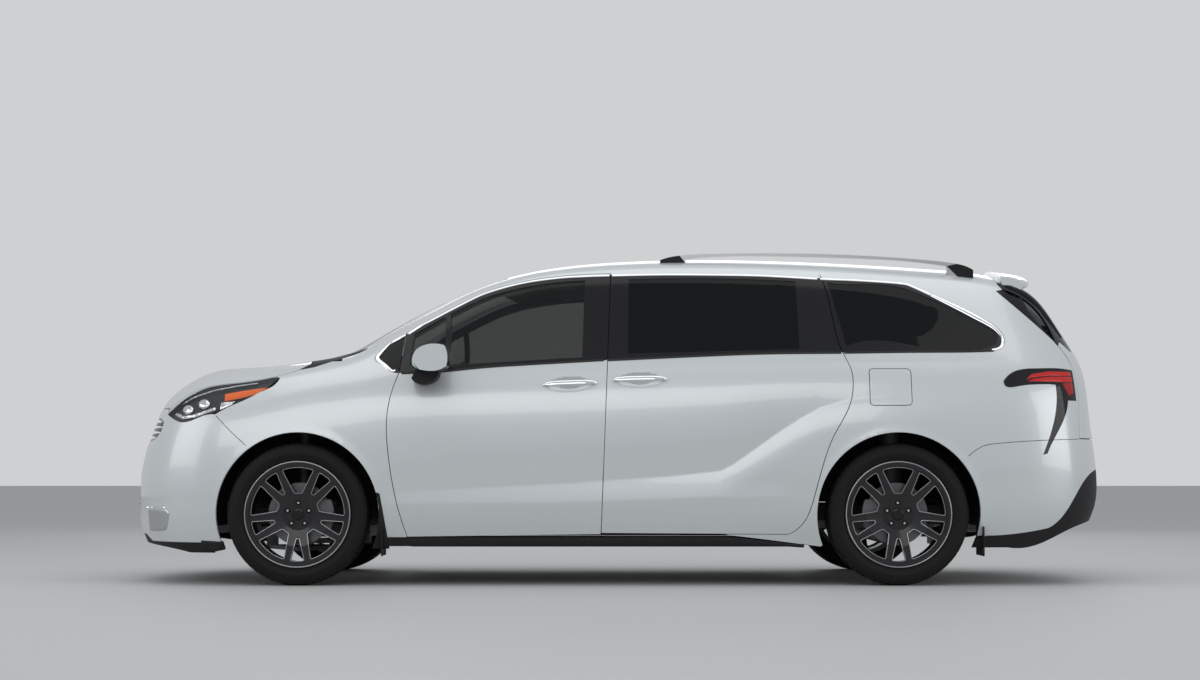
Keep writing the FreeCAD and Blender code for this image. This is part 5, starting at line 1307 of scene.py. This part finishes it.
def rim_finish_for(hub, sign):
    def choose(middle, _):
        away = middle - hub
        return (np.hypot(away[:, 0], away[:, 2]) < DISC_RADIUS) & (-sign * away[:, 1] > DISC_FRONT)
    return choose


def on_wheel(shape, hub, sign):
    points, faces = shape if sign < 0 else mirrored(*shape)
    return points + hub, faces


carcass = lathe(CARCASS + [(radius, -along) for radius, along in reversed(CARCASS)], 132)
tyre_shape = joined_shapes(carcass, tread_blocks())
spoke_edges = joined_shapes(wheel_beads, rim_ring)
for wheel, (hub, sign) in WHEELS.items():
    body = f"wheel_{wheel}"
    recoloured(f"wheel_rim_{wheel}", body, (rim_lacquer, disc_metal), rim_finish_for(hub, sign))
    for name, shape, material in (
        ("spoke_edges", spoke_edges, rim_edge), ("wheel_nuts", wheel_nuts, bright_metal),
        ("hub_cap", hub_cap, gloss_black),
    ):
        add_fitting(f"{name}_{wheel}", on_wheel(shape, hub, sign), body, material)
    placed = on_wheel(tyre_shape, hub, sign)
    tyre = add_fitting(f"tyre_{wheel}_treaded", placed, body, tyre_rubber, 35, [f"tyre_{wheel}"])


# Roof spoiler: a thin wing that carries on the roof's curve, with black fins beside the glass

SPOILER_LINE = millimetres([
    (2032, 1666), (2085, 1658), (2140, 1650), (2185, 1640), (2222, 1627), (2243, 1612), (2249, 1600),
    (2248, 1586), (2240, 1578),
])
SPOILER_UNDER = millimetres([(2214, 1572), (2160, 1572), (2060, 1580)])
SPOILER_LENGTH = .215
SPOILER_HALF = .606
SPOILER_FRONT_DROP = .060
SPOILER_REAR_DROP = .042
SPOILER_SIDE_BACK = .10
SPOILER_LIFT = .0035
FIN_HEIGHTS = (1.285, 1.560)
FIN_SIDES = (.596, .616)
FIN_REACH = .035
FIN_ROOT = -.012
FIN_STEPS = 14


def spoiler_wing():
    x, z = np.concatenate([smooth_line(SPOILER_LINE, .008), SPOILER_UNDER]).T
    along = np.clip((x - SPOILER_LINE[0, 0]) / SPOILER_LENGTH, 0, 1)
    side_drop = SPOILER_FRONT_DROP + (SPOILER_REAR_DROP - SPOILER_FRONT_DROP) * along
    shares = np.linspace(-1, 1, 61)
    rings = []
    for share in shares:
        back = -SPOILER_SIDE_BACK * abs(share) ** 3 * along
        drop = -SPOILER_LIFT + side_drop * abs(share) ** 2.6
        rings.append(np.stack([x + back, np.full(len(x), share * SPOILER_HALF), z - drop], 1))
    return tube(rings, (0, 0, 1), len(shares) // 2 * len(x) + 1)


def spoiler_fin():
    """A thin upright plate beside the glass, deepest under the wing and tapering to nothing."""
    heights = np.linspace(*FIN_HEIGHTS, FIN_STEPS)
    reach = .003 + FIN_REACH * np.linspace(0, 1, FIN_STEPS) ** 1.5
    root = np.full(FIN_STEPS, FIN_ROOT)
    lines = []
    for aside, shifts in zip(FIN_SIDES, ((root, reach), (reach, root))):
        place, _ = on_body(TAIL_VIEW, np.stack([np.full(FIN_STEPS, -aside), heights], 1))
        lines += [place + shift[:, None] * (1, 0, 0) for shift in shifts]
    rings = np.stack(lines, 1)
    return tube(rings, rings[0, 0] - rings.mean((0, 1)))


wing = add_fitting("spoiler_wing", spoiler_wing(), "tailgate", paint, 50, ["spoiler"])
fin = spoiler_fin()
add_fitting("spoiler_fins", joined_shapes(fin, mirrored(*fin)), "tailgate", gloss_black)


# Seats: each row's shape swells as padding does, over a stiff plinth

SEAT_PLINTH_TOP = .598
SEAT_VOXEL = .014
PAD_FRAMES = 20
PAD_CAP = .024
PAD_SHRINK = .007


def swollen(piece, start):
    """The cushions' points after a short cloth simulation under pressure, over a pinned plinth."""
    mesh = piece.data
    soft = start[:, 2] > SEAT_PLINTH_TOP
    start = start - values_of(mesh.vertex_normals, "vector") * (PAD_SHRINK * soft)[:, None]
    mesh.vertices.foreach_set("co", start.ravel())
    pinned = piece.vertex_groups.new(name="plinth")
    pinned.add(np.where(~soft)[0].tolist(), 1, "REPLACE")
    cloth = piece.modifiers.new("padding", "CLOTH")
    cloth.settings.quality = 3
    cloth.settings.use_pressure = True
    cloth.settings.uniform_pressure_force = 4
    cloth.settings.effector_weights.gravity = 0
    cloth.settings.vertex_group_mass = "plinth"
    cloth.point_cache.frame_start = 1
    cloth.point_cache.frame_end = PAD_FRAMES
    for frame_number in range(1, PAD_FRAMES + 1):
        bpy.context.scene.frame_set(frame_number)
    settled = evaluated_mesh(piece)
    moved = values_of(settled.vertices, "co") - start
    bpy.data.meshes.remove(settled)
    piece.modifiers.clear()
    piece.vertex_groups.clear()
    far = np.linalg.norm(moved, axis=1, keepdims=True)
    start += moved * np.minimum(1, PAD_CAP / np.maximum(far, 1e-9))
    mesh.vertices.foreach_set("co", start.ravel())
    bpy.context.scene.frame_set(1)
    return start


def padded_seats(node):
    points, triangles, _ = node_arrays(node)
    finishes = (seat_cloth, cabin_plastic)
    piece = mesh_piece(f"{node}_upholstery", (points, triangles.tolist()), finishes)
    remesh = piece.modifiers.new("skin", "REMESH")
    remesh.mode = "VOXEL"
    remesh.voxel_size = SEAT_VOXEL
    bpy.context.view_layer.update()
    mesh = evaluated_mesh(piece)
    piece.modifiers.clear()
    piece.data = mesh
    mesh.name = piece.name
    mesh.materials.clear()
    for material in finishes:
        mesh.materials.append(material)
    places = values_of(mesh.vertices, "co")
    places = swollen(piece, places)
    slots = [places[list(face.vertices)][:, 2].mean() < SEAT_PLINTH_TOP for face in mesh.polygons]
    mesh.polygons.foreach_set("material_index", np.array(slots, np.int32))
    mesh.polygons.foreach_set("use_smooth", np.ones(len(mesh.polygons), bool))
    mesh.update()
    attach(piece, "chassis")
    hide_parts(node)


for row in ("front_seats", "second_row_seats", "third_row_bench"):
    padded_seats(row)
